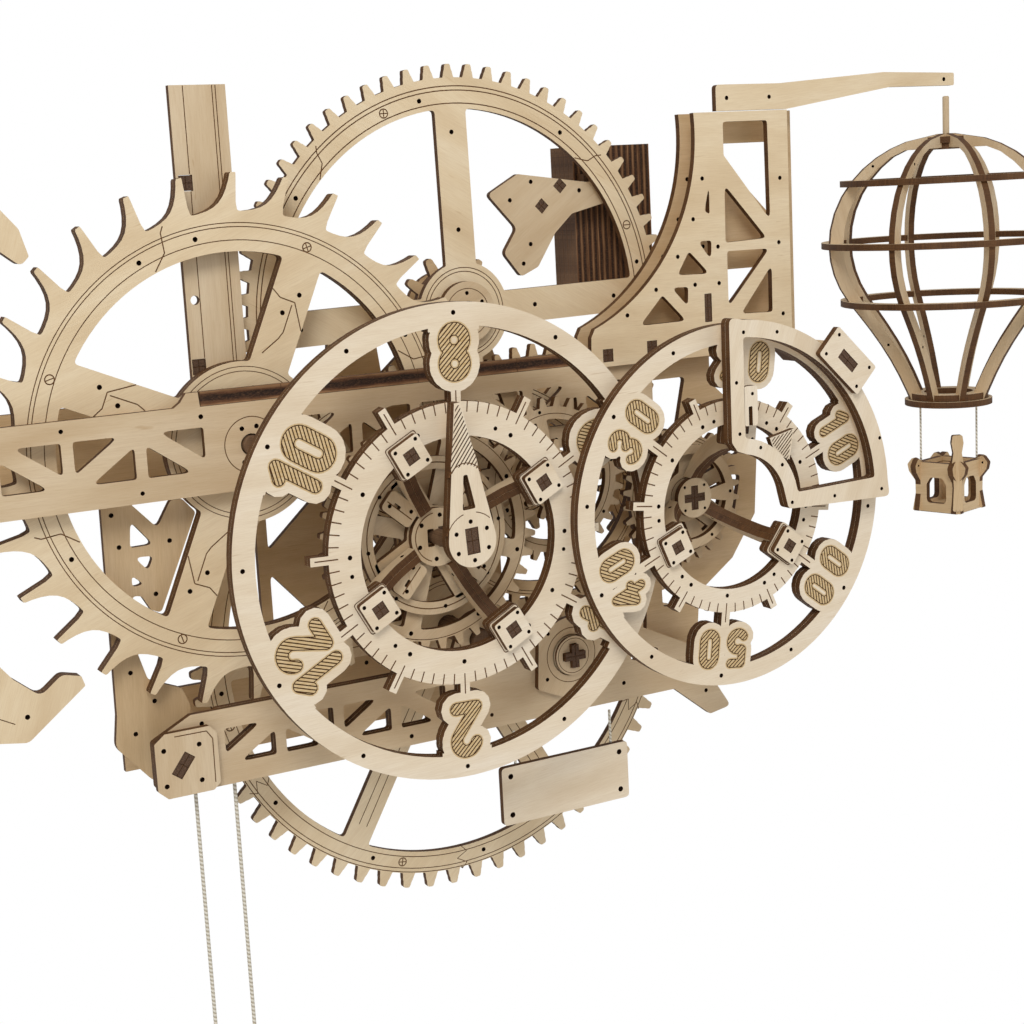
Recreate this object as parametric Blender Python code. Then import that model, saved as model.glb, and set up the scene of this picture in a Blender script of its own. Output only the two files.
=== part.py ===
"""Laser-cut plywood wall clock, an assembly kit: two rotating dials, escape wheel, great wheel,
drive wheel, anchor and pendulum, weight, hot-air balloon and nameplate on a trussed frame.
Run with: blender --background --python part.py.  Metres, +Z up, +Y into the wall."""
import bpy, bmesh, math
from mathutils import Vector, Matrix

for _o in list(bpy.data.objects):
    bpy.data.objects.remove(_o, do_unlink=True)

# ---------------------------------------------------------------- driving dimensions, millimetres
WALL = 100.0          # wall face, behind the hour dial's front face
DROP = 46.0           # the hour axis lies this far below the origin
PLY = 3.0             # one plywood layer
GAP = 0.3             # clearance between touching pieces
HOUR = (0.0, 0.0)     # hour axis
MINUTE = (133.4, -1.0)
ESCAPE = (-73.0, 46.0)
INTER = (63.6, 15.3)  # intermediate arbor between the dials
PIVOT = (-230.0, 31.0)  # anchor and pendulum pivot
WINDER = (70.5, -66.5)
BALLOON = (298.5, 36.5, 106.0)   # x, depth, height of the widest ring
BALLOON_R = 60.0
HOUR_R, MINUTE_R = 99.3, 81.0    # dial outer radii
ESC_TIP, ESC_ROOT, ESC_TEETH = 109.2, 93.6, 30
GREAT_N, ESC_PINION_N, MIN_WHEEL_N = 66, 10, 17
DRIVE_N, GREAT_PINION_N = 62, 12
IW_N, MIN_PINION_N = 40, 10
HW_N, INT_PINION_N = 36, 12
M_GREAT = 3.165
# layer depths (front, back), behind the hour dial's front face
D_WINDOW = (-16.0, -10.0)
D_POINTER = (-10.0, -4.0)
D_MIN_DIAL = (-6.6, -0.6)
D_HOUR_DIAL = (0.0, 6.0)
D_HSPIDER = (24.0, 27.0)
D_HWHEEL = (27.3, 30.3)
D_MSPIDER = (30.4, 33.4)
D_IFRONT = (31.4, 34.4)
D_TOWER = (35.0, 38.0)
D_BEAM = (38.3, 41.3)
D_IWHEEL = (42.3, 45.3)
D_ESC = (46.0, 52.0)
D_TOWER2 = (47.0, 50.0)
D_POST = (54.0, 57.0)
D_GREAT = (60.0, 63.0)
D_DRIVE = (70.0, 73.0)
D_REAR = (82.0, 85.0)
D_WALL = (97.0, 100.0)
BEAM_Z = (27.8, 63.6)
RAIL_Z = (63.9, 69.5)
LOW_Z = (-94.0, -61.5)
TOOTH = dict(add=0.75, ded=1.05, wt=0.20, wp=0.40, wr=0.56)   # wheels
TOOTHP = dict(add=0.75, ded=1.05, wt=0.18, wp=0.38, wr=0.50)  # pinions

MODEL = bpy.data.collections.new("wall_clock"); bpy.context.scene.collection.children.link(MODEL)
CUT = bpy.data.collections.new("cutters"); bpy.context.scene.collection.children.link(CUT)


def at(x, d, z):
    return Vector((x / 1000, (d - WALL) / 1000, (z - DROP) / 1000))


def material(name, rgb, rough, metal=0.0):
    m = bpy.data.materials.new(name); m.use_nodes = True
    b = m.node_tree.nodes["Principled BSDF"]
    b.inputs["Base Color"].default_value = (*rgb, 1)
    b.inputs["Roughness"].default_value = rough
    b.inputs["Metallic"].default_value = metal
    m.diffuse_color = (*rgb, 1)
    return m


PALETTE = {"birch": ((0.76, 0.60, 0.40), 0.6), "birch_rear": ((0.62, 0.46, 0.28), 0.65), "laminate": ((0.30, 0.17, 0.08), 0.7),
           "cord": ((0.85, 0.83, 0.78), 0.8), "steel": ((0.55, 0.55, 0.56), 0.35)}


def own(o, mat):
    rgb, rough = PALETTE[mat]
    o.data.materials.clear()
    o.data.materials.append(material(o.name + "_" + mat, rgb, rough, 1.0 if mat == "steel" else 0.0))
    return o


# ---------------------------------------------------------------- outlines
def circle(r, n=48, c=(0, 0), a0=0.0):
    return [(c[0] + r * math.cos(a0 + 2 * math.pi * k / n), c[1] + r * math.sin(a0 + 2 * math.pi * k / n)) for k in range(n)]


def arc(r, a0, a1, n, c=(0, 0)):
    return [(c[0] + r * math.cos(math.radians(a0 + (a1 - a0) * k / (n - 1))), c[1] + r * math.sin(math.radians(a0 + (a1 - a0) * k / (n - 1)))) for k in range(n)]


def turn(pts, deg, c=(0, 0)):
    a = math.radians(deg); ca, sa = math.cos(a), math.sin(a)
    return [(c[0] + x * ca - y * sa, c[1] + x * sa + y * ca) for x, y in pts]


def rect(cx, cz, w, h, deg=0.0):
    return turn([(-w / 2, -h / 2), (w / 2, -h / 2), (w / 2, h / 2), (-w / 2, h / 2)], deg, (cx, cz))


def gear(n, m, phase, add, ded, wt, wp, wr):
    r = m * n / 2; p = 2 * math.pi / n; out = []
    for k in range(n):
        a = math.radians(phase) + k * p
        for rr, w, s in ((r - ded * m, wr, -1), (r + add * m, wt, -1), (r + add * m, wt, 1), (r - ded * m, wr, 1)):
            t = a + s * w * p / 2
            out.append((rr * math.cos(t), rr * math.sin(t)))
    return out


def mate(c1, n1, ph1, c2, n2):
    """Phase of gear 2 so that a gap of it faces a tooth of gear 1 on the line of centres."""
    al = math.degrees(math.atan2(c2[1] - c1[1], c2[0] - c1[0]))
    u = (al - ph1) * n1 / 360.0
    return al + 180.0 - ((0.5 - u) % 1.0) * 360.0 / n2


def meet(c1, r1, c2, r2, up=True):
    """Centre at distances r1 and r2 from two points, on the upper side."""
    dx, dz = c2[0] - c1[0], c2[1] - c1[1]; d = math.hypot(dx, dz)
    a = (r1 * r1 - r2 * r2 + d * d) / (2 * d); h = math.sqrt(r1 * r1 - a * a)
    s = 1 if up else -1
    return (c1[0] + a * dx / d - s * h * dz / d, c1[1] + a * dz / d + s * h * dx / d)


GREAT = meet(ESCAPE, M_GREAT * (GREAT_N + ESC_PINION_N) / 2, MINUTE, M_GREAT * (GREAT_N + MIN_WHEEL_N) / 2)
DRIVE = (26.5, -52.7)
M_DRIVE = 2 * math.dist(DRIVE, GREAT) / (DRIVE_N + GREAT_PINION_N)
M_IW = 2 * math.dist(INTER, MINUTE) / (IW_N + MIN_PINION_N)
M_HW = 2 * math.dist(INTER, HOUR) / (HW_N + INT_PINION_N)


def sectors(k, r0, r1, width, phase, n=7):
    """Openings between k spokes of the given width, from radius r0 to r1."""
    out = []
    for i in range(k):
        a0 = phase + 360.0 * i / k; a1 = phase + 360.0 * (i + 1) / k
        e0 = math.degrees(math.asin(width / 2 / r0)); e1 = math.degrees(math.asin(width / 2 / r1))
        out.append(arc(r1, a0 + e1, a1 - e1, n) + arc(r0, a1 - e0, a0 + e0, max(3, n // 2)))
    return out


def escape_outline():
    out = []
    for k in range(ESC_TEETH):
        a = 111.9 - 360.0 * k / ESC_TEETH
        for da, r in ((0.6, ESC_TIP), (-0.6, ESC_TIP), (-0.5, ESC_ROOT), (-5.6, 95.0), (-9.4, 100.2)):
            out.append((r * math.cos(math.radians(a + da)), r * math.sin(math.radians(a + da))))
    return out[::-1]


def dial_holes(r_ring, r_scale, r_tab0, half, phase, tab_w=1.8, tab_l=4.3, neck=2.2):
    """Six openings between ring and scale, leaving numeral tabs and small index tabs."""
    out = []
    for k in range(6):
        a = phase + 60.0 * k
        def edge(side, ang):
            pts = []
            for off, r in ((half, r_ring), (half * 1.02, r_ring - 6), (half * 0.80, (r_ring + r_tab0) / 2 + 1.0), (half, r_tab0 + 8), (half * 0.7, r_tab0 + 1.5), (neck, r_tab0), (neck, r_scale)):
                rr = math.sqrt(max(r * r - off * off, 1.0)) if r in (r_ring, r_scale) else r
                x, y = rr, side * off
                t = math.radians(ang)
                pts.append((x * math.cos(t) - y * math.sin(t), x * math.sin(t) + y * math.cos(t)))
            return pts
        lo, hi = edge(1, a), edge(-1, a + 60)
        e = math.degrees(math.asin(half / r_ring)); es = math.degrees(math.asin(neck / r_scale))
        et = math.degrees(math.asin(tab_w / r_scale))
        mid = a + 30
        ring = arc(r_ring, a + e, a + 60 - e, 5)[1:-1]
        s1 = arc(r_scale, a + 60 - es, mid + et, 4)[1:]
        s2 = arc(r_scale, mid - et, a + es, 4)[:-1]
        t = math.radians(mid)
        tip = [((r_scale + tab_l) * math.cos(t) - s * tab_w * math.sin(t), (r_scale + tab_l) * math.sin(t) + s * tab_w * math.cos(t)) for s in (1, -1)]
        out.append(ring + hi + s1 + tip + s2 + lo[::-1])
    return out


def truss(x0, x1, z0, z1, cell, strut, flip=False):
    """Triangular cut-outs of an N-truss between x0 and x1."""
    out = []; n = max(1, round((x1 - x0) / cell)); w = (x1 - x0) / n
    for i in range(n):
        a, b = x0 + i * w + strut / 2, x0 + (i + 1) * w - strut / 2
        k = strut * 0.62
        if (i % 2 == 0) != flip:
            out.append([(a, z0), (b - 2 * k, z0), (a, z1 - 1.6 * k)])
            out.append([(b, z1), (a + 2 * k, z1), (b, z0 + 1.6 * k)])
        else:
            out.append([(b, z0), (b, z1 - 1.6 * k), (a + 2 * k, z0)])
            out.append([(a, z1), (a, z0 + 1.6 * k), (b - 2 * k, z1)])
    return out


# ---------------------------------------------------------------- solids
def plate(name, outline, holes, depth, mat="birch", centre=(0.0, 0.0), link=True):
    cu = bpy.data.curves.new(name, "CURVE"); cu.dimensions = "2D"; cu.fill_mode = "BOTH"
    cu.extrude = (depth[1] - depth[0]) / 2000.0
    for pts in [outline] + list(holes):
        sp = cu.splines.new("POLY"); sp.points.add(len(pts) - 1); sp.use_cyclic_u = True
        for p, (x, z) in zip(sp.points, pts):
            p.co = (x / 1000, z / 1000, 0, 1)
    o = bpy.data.objects.new(name, cu)
    o.location = at(centre[0], (depth[0] + depth[1]) / 2, centre[1]); o.rotation_euler = (math.pi / 2, 0, 0)
    if link:
        MODEL.objects.link(o); own(o, mat)
    else:
        CUT.objects.link(o)
    return o


def as_mesh(o, name, coll):
    bpy.context.view_layer.update()
    me = bpy.data.meshes.new_from_object(o.evaluated_get(bpy.context.evaluated_depsgraph_get()))
    me.name = name
    bm = bmesh.new(); bm.from_mesh(me); bmesh.ops.remove_doubles(bm, verts=bm.verts, dist=1e-6); bm.to_mesh(me); bm.free()
    n = bpy.data.objects.new(name + "_m", me); n.matrix_world = o.matrix_world.copy(); coll.objects.link(n)
    bpy.data.objects.remove(o, do_unlink=True)
    n.name = name
    return n


def mesh_object(name, bm, loc, coll):
    me = bpy.data.meshes.new(name); bm.to_mesh(me); bm.free()
    o = bpy.data.objects.new(name, me); o.location = loc; coll.objects.link(o)
    return o


def block(name, x, d, z, mat=None, deg=0.0, tilt=0.0):
    """Box from ranges in x, depth and z, turned by deg about the depth axis."""
    bm = bmesh.new(); bmesh.ops.create_cube(bm, size=1.0)
    bmesh.ops.scale(bm, vec=((x[1] - x[0]) / 1000, (d[1] - d[0]) / 1000, (z[1] - z[0]) / 1000), verts=bm.verts)
    o = mesh_object(name, bm, at((x[0] + x[1]) / 2, (d[0] + d[1]) / 2, (z[0] + z[1]) / 2), MODEL if mat else CUT)
    o.rotation_euler = (0, -math.radians(deg), 0)
    if mat:
        own(o, mat)
    return o


def rod(name, c, d, r, mat=None, n=16):
    bm = bmesh.new(); bmesh.ops.create_cone(bm, cap_ends=True, segments=n, radius1=r / 1000, radius2=r / 1000, depth=(d[1] - d[0]) / 1000)
    bmesh.ops.rotate(bm, cent=(0, 0, 0), matrix=Matrix.Rotation(math.pi / 2, 3, "X"), verts=bm.verts)
    o = mesh_object(name, bm, at(c[0], (d[0] + d[1]) / 2, c[1]), MODEL if mat else CUT)
    if mat:
        own(o, mat)
    return o


def fuse(name, base, others, mat="birch"):
    """Join glued layers into one solid."""
    if base.type == "CURVE":
        base = as_mesh(base, name, MODEL)
    elif base.name not in MODEL.objects:
        CUT.objects.unlink(base); MODEL.objects.link(base); base.name = name
    own(base, mat)
    for i, o in enumerate(others):
        if o.type == "CURVE":
            o = as_mesh(o, f"{name}_cut{i}", CUT)
        o.hide_render = True; o.display_type = "WIRE"
        md = base.modifiers.new(f"join{i}", "BOOLEAN"); md.operation = "UNION"; md.solver = "EXACT"; md.object = o
    return base


def cord(name, pts, dia):
    cu = bpy.data.curves.new(name, "CURVE"); cu.dimensions = "3D"; cu.bevel_depth = dia / 2000; cu.bevel_resolution = 2; cu.use_fill_caps = True
    sp = cu.splines.new("POLY"); sp.points.add(len(pts) - 1)
    for p, q in zip(sp.points, pts):
        p.co = (*at(*q), 1)
    o = bpy.data.objects.new(name, cu); MODEL.objects.link(o); own(o, "cord")
    return o


# ---------------------------------------------------------------- frame
bore = lambda c, r: circle(r, 16, c)
BX0, BX1 = -222.0, 122.0
beam = ([(BX0, BEAM_Z[1])] + arc(15.0, 100, 262, 9, PIVOT) + [(BX0 + 6, BEAM_Z[0]), (-14, BEAM_Z[0]), (-11, -6)] + arc(11.0, 215, 325, 5, HOUR) +
        [(11, -6), (14, BEAM_Z[0]), (BX1, BEAM_Z[0]), (BX1, RAIL_Z[1]), (97.0, RAIL_Z[1]), (95.3, BEAM_Z[1]), (-93.5, BEAM_Z[1]), (-94.0, RAIL_Z[1]), (-99.0, RAIL_Z[1]), (-103.5, BEAM_Z[1] + 0.4)])
cells = truss(-206.0, -90.5, 37.6, 55.3, 28.9, 4.7, True) + truss(-53.5, 111.5, 37.6, 55.3, 27.5, 4.7, True)
plate("upper_beam_front", beam, cells + [bore(ESCAPE, 4.6), bore(PIVOT, 4.6), circle(4.0, 12, (0, 0))], D_BEAM)
block("top_rail", (-93.2, 94.9), D_BEAM, RAIL_Z, "laminate")
rear = ([(BX0, BEAM_Z[1])] + arc(15.0, 100, 262, 9, PIVOT) + [(BX0 + 6, BEAM_Z[0]), (BX1, BEAM_Z[0]), (BX1, BEAM_Z[1]), (66, BEAM_Z[1]), (56, 92)] +
        arc(17.5, 5, 175, 9, GREAT) + [(16, 72), (6, BEAM_Z[1])])
plate("upper_beam_rear", rear, [bore(ESCAPE, 4.6), bore(PIVOT, 4.6), bore(GREAT, 5.6)], D_REAR, "birch_rear")
low = [(-120, LOW_Z[0]), (-125.5, -89), (-125.5, -70), (-108.5, LOW_Z[1]), (10, LOW_Z[1]), (16, -46)] + arc(13.5, 140, 40, 5, DRIVE) + \
      [(44, -56), (96, -50), (112, LOW_Z[1]), (138, -74), (160, -108), (148, -110), (128, LOW_Z[0])]
plate("lower_beam_front", low, truss(-97.0, 10.0, -85.3, -70.0, 26.7, 4.7, True) + [bore(DRIVE, 5.6), bore(WINDER, 9.6)], D_BEAM)
lowr = [(-125, LOW_Z[0]), (-125, LOW_Z[1]), (-64, LOW_Z[1]), (-58, -50), (-58, 27.4), (62, 27.4), (62, -50), (68, LOW_Z[1]), (120, LOW_Z[1]), (120, LOW_Z[0])]
plate("lower_beam_rear", lowr, [bore(DRIVE, 5.6), [(-53, -46), (-28, -46), (-53, -18)], [(-53, 20), (-22, 20), (-53, -8)], [(-20, -8), (8, -8), (-6, -40)]], D_REAR, "birch_rear")
plate("end_plate_lower_left", [(-125.6, -90), (-121.5, -93.8), (-102, -93.8), (-99, -91), (-99, -70), (-102, -66.5), (-121, -66.5), (-125.6, -70)], [], D_TOWER)
plate("left_post", [(-90.3, 66.5), (-66.5, 66.5), (-66.5, 190), (-90.3, 190)], [rect(-85.5, 151.7, 3, 6), rect(-87, 78, 4, 6), circle(2.0, 10, (-86.5, 105))], D_POST)
plate("rear_truss", [(-133, 27), (-121, 26), (-110.5, 14.5), (-104, 25), (-99, 25), (-93.8, 18.8), (-112, -21), (-116.2, -18.8), (-119.5, -12.8), (-123.4, -12.1), (-123.4, -36), (-120, -48), (-106, -54), (-103, -62), (-108, -93), (-121.6, -91), (-136, -74), (-134.3, -60.7)],
      [[(-121.5, 18.8), (-112.7, 7.9), (-122.5, 7.7)], [(-121.3, 3.7), (-113.1, 3.1), (-115.8, -2.5)], [(-123, -3.6), (-118, -7.9), (-123, -8.5)]], D_POST, "birch_rear")
TOWER_ARC, TOWER_R = (57.7, 163.1), 90.1   # hollow left edge of the tower
edge = arc(TOWER_R, 5.6, -68.6, 16, TOWER_ARC)
tower = [(200.0, 172.0)] + edge + [(88.6, 75.5), (88.0, 62.0), (200.0, 62.0)]
tower_holes = [[(163.4, 139.2), (163.0, 113.0), (186.6, 113.8)], [(163.4, 152.5), (188.8, 122.0), (188.4, 167.5), (163.4, 167.5)], [(163.7, 109.1), (187.9, 108.9), (163.7, 83.6)],
               [(189.0, 101.3), (188.8, 79.3), (170.6, 79.8)], [(154.7, 140.0), (154.6, 126.2), (151.9, 128.0)], [(147.7, 114.6), (155.1, 114.5), (154.7, 105.5)],
               [(142.5, 110.4), (153.5, 99.5), (135.7, 100.0)], [(132.3, 94.6), (141.4, 94.3), (141.0, 85.3)], [(127.2, 91.6), (139.8, 79.0), (114.5, 78.8)]]
plate("tower_front", tower, tower_holes + [rect(97.0, 67.0, 4.6, 6), rect(120.6, 68.7, 4.6, 6), rect(152.2, 84, 4.0, 13)], D_TOWER)
tower2 = [(211.0, 172.0)] + edge + [(88.6, 75.5), (88.0, 64.5), (113, 60), (118, 20), (113, -8), (120, -50), (118, -96), (146, -96), (150, -52), (170, -38), (184, -18), (186, 10), (178, 32), (160, 48), (160, 60), (211.0, 64)]
plate("tower_rear", tower2, [[(163.4, 158), (200, 158), (200, 122)], [(163.4, 100), (200, 100), (163.4, 76)], [(126, 52), (146, 52), (140, 26), (128, 26)], [(152, 40), (170, 28), (176, 12), (152, 12)], [(152, 4), (176, 2), (172, -16), (152, -10)], [(128, -26), (140, -26), (141, -56), (129, -56)], bore(MINUTE, 4.6)], D_TOWER2, "birch_rear")
block("laminated_block", (107, 149), (75, 95), (93, 160), "laminate")
fuse("cross_bearing", plate("cb", [(54.5, -50)] + arc(17.5, 120, -60, 12, WINDER) + [(66.5, -86), (52.5, -80)], [bore(WINDER, 9.6)], D_TOWER, link=False), [])
plate("wall_plate", [(-70, 32), (70, 32), (70, 60), (14, 60), (10, 92), (-10, 92), (-14, 60), (-70, 60)], [circle(4.0, 16, (0, 78))], D_WALL, "birch_rear")
block("wall_spacer_left", (-56, -44), (85.3, 96.7), (34, 58), "birch_rear")
block("wall_spacer_right", (44, 56), (85.3, 96.7), (34, 58), "birch_rear")
balloon_top = BALLOON[2] + 52.0
plate("balloon_arm", [(160, 172.3), (200, 172.3), (262, 181), (BALLOON[0] + 4, 181), (BALLOON[0] + 4, 187), (258, 188), (196, 184), (160, 184)], [], D_TOWER)

# ---------------------------------------------------------------- fixed pointers
tip = 59.5
pt = [(0, tip)] + [(-10.9, 0.5)] + arc(10.9, 180, 360, 11, (0, 0)) + [(10.9, 0.5)]
plate("hour_pointer", pt, [[(-0.8, 30.0), (-3.0, 13.5), (3.0, 13.5), (0.8, 30.0)]], D_POINTER)
fuse("pointer_post", rod("pp", HOUR, (-3.7, 38.0), 3.6), [rod("pw", HOUR, (20.6, 23.6), 10.2, n=24)])
W = (MINUTE[0] - 3.0, MINUTE[1])
wo = arc(83.0, 2.5, 87.5, 14) + [(-3.5, 84.5), (-3.8, 30.0)] + [(-1.0, 26.0)] + arc(24.5, 80, 10, 6) + [(26, -3.0), (84.0, -4.5)]
wi = arc(75.5, 4, 87.2, 13) + [(3.5, 31.3)] + arc(31.4, 78, 12, 6) + [(31.4, 4.0)]
wcap = rect(0, 0, 16, 29)
plate("minute_window", wo, [wi], D_WINDOW, centre=W)
ac = (W[0] + 87.5 * math.cos(math.radians(46)), W[1] + 87.5 * math.sin(math.radians(46)))
fuse("window_arm", block("wa", (ac[0] - 2.5, ac[0] + 2.5), (D_WINDOW[0] - 3.0, 34.7), (ac[1] - 6, ac[1] + 6), deg=46),
     [block("wb", (ac[0] - 11.5, ac[0] + 4.5), (D_WINDOW[0] - 3.3, D_WINDOW[0] - 0.3), (ac[1] - 14.5, ac[1] + 14.5), deg=46)])
plate("minute_pointer", turn([(45.5, 0), (34.0, 7.5), (31.8, 2.4), (31.8, -2.4), (34.0, -7.5)], 45), [], (-13.0, -10.0), centre=W)


# ---------------------------------------------------------------- dials
def dial(name, r_out, r_ring, r_scale, r_in, r_tab0, half, phase, depth, centre, caps, r_cap, cap_a):
    p = plate(name, circle(r_out, 64), dial_holes(r_ring, r_scale, r_tab0, half, phase, tab_l=7.8 if r_out > 90 else 5.5) + [circle(r_in, 32)], depth, centre=centre, link=False)
    extra = []
    for k in range(caps):
        a = cap_a + 360.0 * k / caps
        c = (centre[0] + r_cap * math.cos(math.radians(a)), centre[1] + r_cap * math.sin(math.radians(a)))
        extra.append(block(f"{name}_cap{k}", (c[0] - 6.9, c[0] + 6.9), (depth[0] - 3.0, depth[0] + 0.5), (c[1] - 6.9, c[1] + 6.9), deg=a))
    return fuse(name, p, extra)


PH_H, PH_M = 88.37, 82.6      # angle of the top numeral
R_CAP_H, A_CAP_H = 44.6, 28.4   # square caps over the arms' tenons
R_CAP_M, A_CAP_M = 35.2, 82.6
dial("hour_dial", HOUR_R, 89.8, 59.0, 44.9, 62.0, 10.8, PH_H, D_HOUR_DIAL, HOUR, 4, R_CAP_H, A_CAP_H)
dial("minute_dial", MINUTE_R, 72.6, 47.8, 37.2, 50.8, 9.6, PH_M, D_MIN_DIAL, MINUTE, 3, R_CAP_M, A_CAP_M)


def fin(name, centre, ang, pts, thick=6.0):
    """Two-layer arm standing on edge: its outline is given as radius and depth, at an angle round an axis."""
    cu = bpy.data.curves.new(name, "CURVE"); cu.dimensions = "2D"; cu.fill_mode = "BOTH"; cu.extrude = thick / 2000
    sp = cu.splines.new("POLY"); sp.points.add(len(pts) - 1); sp.use_cyclic_u = True
    for p, (r, d) in zip(sp.points, pts):
        p.co = (r / 1000, d / 1000, 0, 1)
    o = bpy.data.objects.new(name, cu)
    rad = Vector((math.cos(math.radians(ang)), 0, math.sin(math.radians(ang)))); y = Vector((0, 1, 0)); n = rad.cross(y)
    m = Matrix((rad, y, n)).transposed().to_4x4(); m.translation = at(centre[0], 0.0, centre[1])
    o.matrix_world = m; MODEL.objects.link(o); own(o, "birch")
    return o


HOUR_ARM = [(50.5, 6.3), (50.0, 8.6), (44.0, 15.0), (34.0, 20.2), (24.0, 22.8), (12.5, 23.7), (12.5, 18.5), (24.0, 17.0), (33.0, 13.6), (40.0, 8.6), (41.5, 6.3)]
MIN_ARM = [(36.6, -5.8), (36.6, -0.6), (33.4, -0.4), (31.0, 7.0), (26.5, 15.5), (19.0, 24.0), (9.0, 30.1), (9.0, 24.0), (14.0, 20.0), (20.0, 12.0), (24.5, 2.0), (26.0, -5.8)]
for k in range(4):
    fin(f"hour_arm_{k + 1}", HOUR, A_CAP_H + 90 * k, HOUR_ARM)
for k in range(3):
    fin(f"minute_arm_{k + 1}", MINUTE, A_CAP_M + 120 * k, MIN_ARM)


def star(n, r_hub, r_end, a0, half):
    out = []
    for k in range(n):
        a = a0 + 360.0 * k / n
        e = math.degrees(math.asin(half / r_end)); h = math.degrees(math.asin(half / r_hub))
        out += arc(r_end, a - e, a + e, 3) + arc(r_hub, a + h, a + 360.0 / n - h, 4)
    return out


plate("hour_spider", star(4, 13.0, 30.0, A_CAP_H, 6.0), [circle(5.0, 12)], D_HSPIDER, centre=HOUR)
ph_iw = 10.0
ph_mp = mate(INTER, IW_N, ph_iw, MINUTE, MIN_PINION_N)
ph_hw = 3.0
ph_ip = mate(HOUR, HW_N, ph_hw, INTER, INT_PINION_N)
r_hw = M_HW * HW_N / 2
plate("hour_wheel", gear(HW_N, M_HW, ph_hw, **TOOTH), sectors(4, 14.0, r_hw - 9.0, 9.0, A_CAP_H - 45, 5) + [circle(5.0, 12)], D_HWHEEL, centre=HOUR)

# intermediate arbor
r_iw = M_IW * IW_N / 2
fuse("intermediate_arbor", rod("ia", INTER, (26.2, 48.0), 3.6), [plate("ip", gear(INT_PINION_N, M_HW, ph_ip, **TOOTHP), [], (27.3, 30.3), centre=INTER, link=False)])
plate("intermediate_front_wheel", gear(30, 2.33, 0.0, **TOOTH), [circle(4.0, 12)] + sectors(4, 10, 28.0, 5.0, 10, 4), D_IFRONT, centre=INTER)
plate("intermediate_wheel", gear(IW_N, M_IW, ph_iw, **TOOTH), [circle(4.0, 12)] + sectors(4, 12, r_iw - 10, 8.0, 20, 6), D_IWHEEL, "birch_rear", centre=INTER)

# minute arbor
fuse("minute_spider", plate("ms", star(3, 12.0, 20.0, A_CAP_M, 5.5), [], D_MSPIDER, centre=MINUTE, link=False), [])
ph_g = 20.0
ph_mw = mate(GREAT, GREAT_N, ph_g, MINUTE, MIN_WHEEL_N)
ph_ep = mate(GREAT, GREAT_N, ph_g, ESCAPE, ESC_PINION_N)
r_mw = M_GREAT * MIN_WHEEL_N / 2
fuse("minute_arbor", rod("ma", MINUTE, (33.7, 65.0), 4.0), [plate("mp", gear(MIN_PINION_N, M_IW, ph_mp, **TOOTHP), [], D_IWHEEL, centre=MINUTE, link=False)])
plate("minute_wheel", gear(MIN_WHEEL_N, M_GREAT, ph_mw, **TOOTHP), [circle(4.4, 12)] + sectors(3, 10, r_mw - 8.5, 6, 0, 5), D_GREAT, "birch_rear", centre=MINUTE)

# escape arbor
plate("escape_wheel", escape_outline(), sectors(4, 33.5, 77.8, 17.5, 66.6, 9) + [circle(4.4, 12)], D_ESC, centre=ESCAPE)
fuse("escape_arbor", rod("ea", ESCAPE, (36.0, 87.0), 4.0), [plate("ep", gear(ESC_PINION_N, M_GREAT, ph_ep, **TOOTHP), [], D_GREAT, centre=ESCAPE, link=False)])

# great arbor
r_g = M_GREAT * GREAT_N / 2
ph_d = 0.7
ph_gp = mate(DRIVE, DRIVE_N, ph_d, GREAT, GREAT_PINION_N)
plate("great_wheel", gear(GREAT_N, M_GREAT, ph_g, **TOOTH), [circle(5.4, 12)] + sectors(4, 22.0, 88.0, 15.0, 91.0, 9), D_GREAT, "birch", centre=GREAT)
fuse("great_arbor", rod("ga", GREAT, (56.0, 88.0), 5.0), [plate("gp", gear(GREAT_PINION_N, M_DRIVE, ph_gp, **TOOTHP), [], D_DRIVE, centre=GREAT, link=False)])

# drive arbor
r_d = M_DRIVE * DRIVE_N / 2
plate("drive_wheel", gear(DRIVE_N, M_DRIVE, ph_d, **TOOTH), [circle(5.4, 12)] + sectors(6, 24.0, 106.0, 13.0, 60.0, 6), D_DRIVE, centre=DRIVE)
fuse("drive_arbor", rod("da", DRIVE, (36.0, 88.0), 5.0), [rod("dd", DRIVE, (74.0, 80.0), 26.0, n=32)])
wx, wz = WINDER
fuse("winding_arbor", rod("wd", WINDER, (33.0, 56.0), 9.0, n=24),
     [block("wc1", (wx - 2.0, wx + 2.0), (30.9, 34.3), (wz - 5.5, wz + 5.5)), block("wc2", (wx - 5.4, wx + 5.4), (31.0, 34.2), (wz - 2.1, wz + 2.1)), rod("wr", WINDER, (50.4, 53.6), 15.0, n=36)])

# ---------------------------------------------------------------- anchor and pendulum
px, pz = PIVOT
# the outline runs down the outer side and back along the inner side
outer = [(-164.0, 146.5), (-184, 140), (-206, 116), (-226, 72)] + arc(14.0, 120, 250, 6, PIVOT) + [(-222, -8), (-206, -38), (-188, -60), (-172.5, -62.5)]
inner = [(-148.0, -43.5), (-149.3, -39.3), (-157.0, -37.4), (-166.0, -44.5), (-176.0, -36.0), (-190.0, -18.0), (-206, 10), (-213, 31), (-206, 66), (-190, 104), (-176, 124), (-167, 131.5), (-157.0, 123.5), (-153.6, 127.0), (-156.5, 137.5)]
fuse("anchor", plate("an", (outer + inner)[::-1], [], D_ESC, centre=(0, 0), link=False), [rod("aa", PIVOT, (36.0, 87.0), 4.0)])
PEN_Z = -205.0
pend = arc(26.0, 97, 443, 25, (px, PEN_Z)) + [(px + 3.2, PEN_Z + 26), (px + 3.2, pz - 10)] + arc(10.0, -70, 250, 13, PIVOT) + [(px - 3.2, pz - 10), (px - 3.2, PEN_Z + 26)]
plate("pendulum", pend, [circle(4.4, 16, PIVOT)], (55.0, 61.0))

# ---------------------------------------------------------------- hot-air balloon
bx, bd, bz = BALLOON


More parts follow.
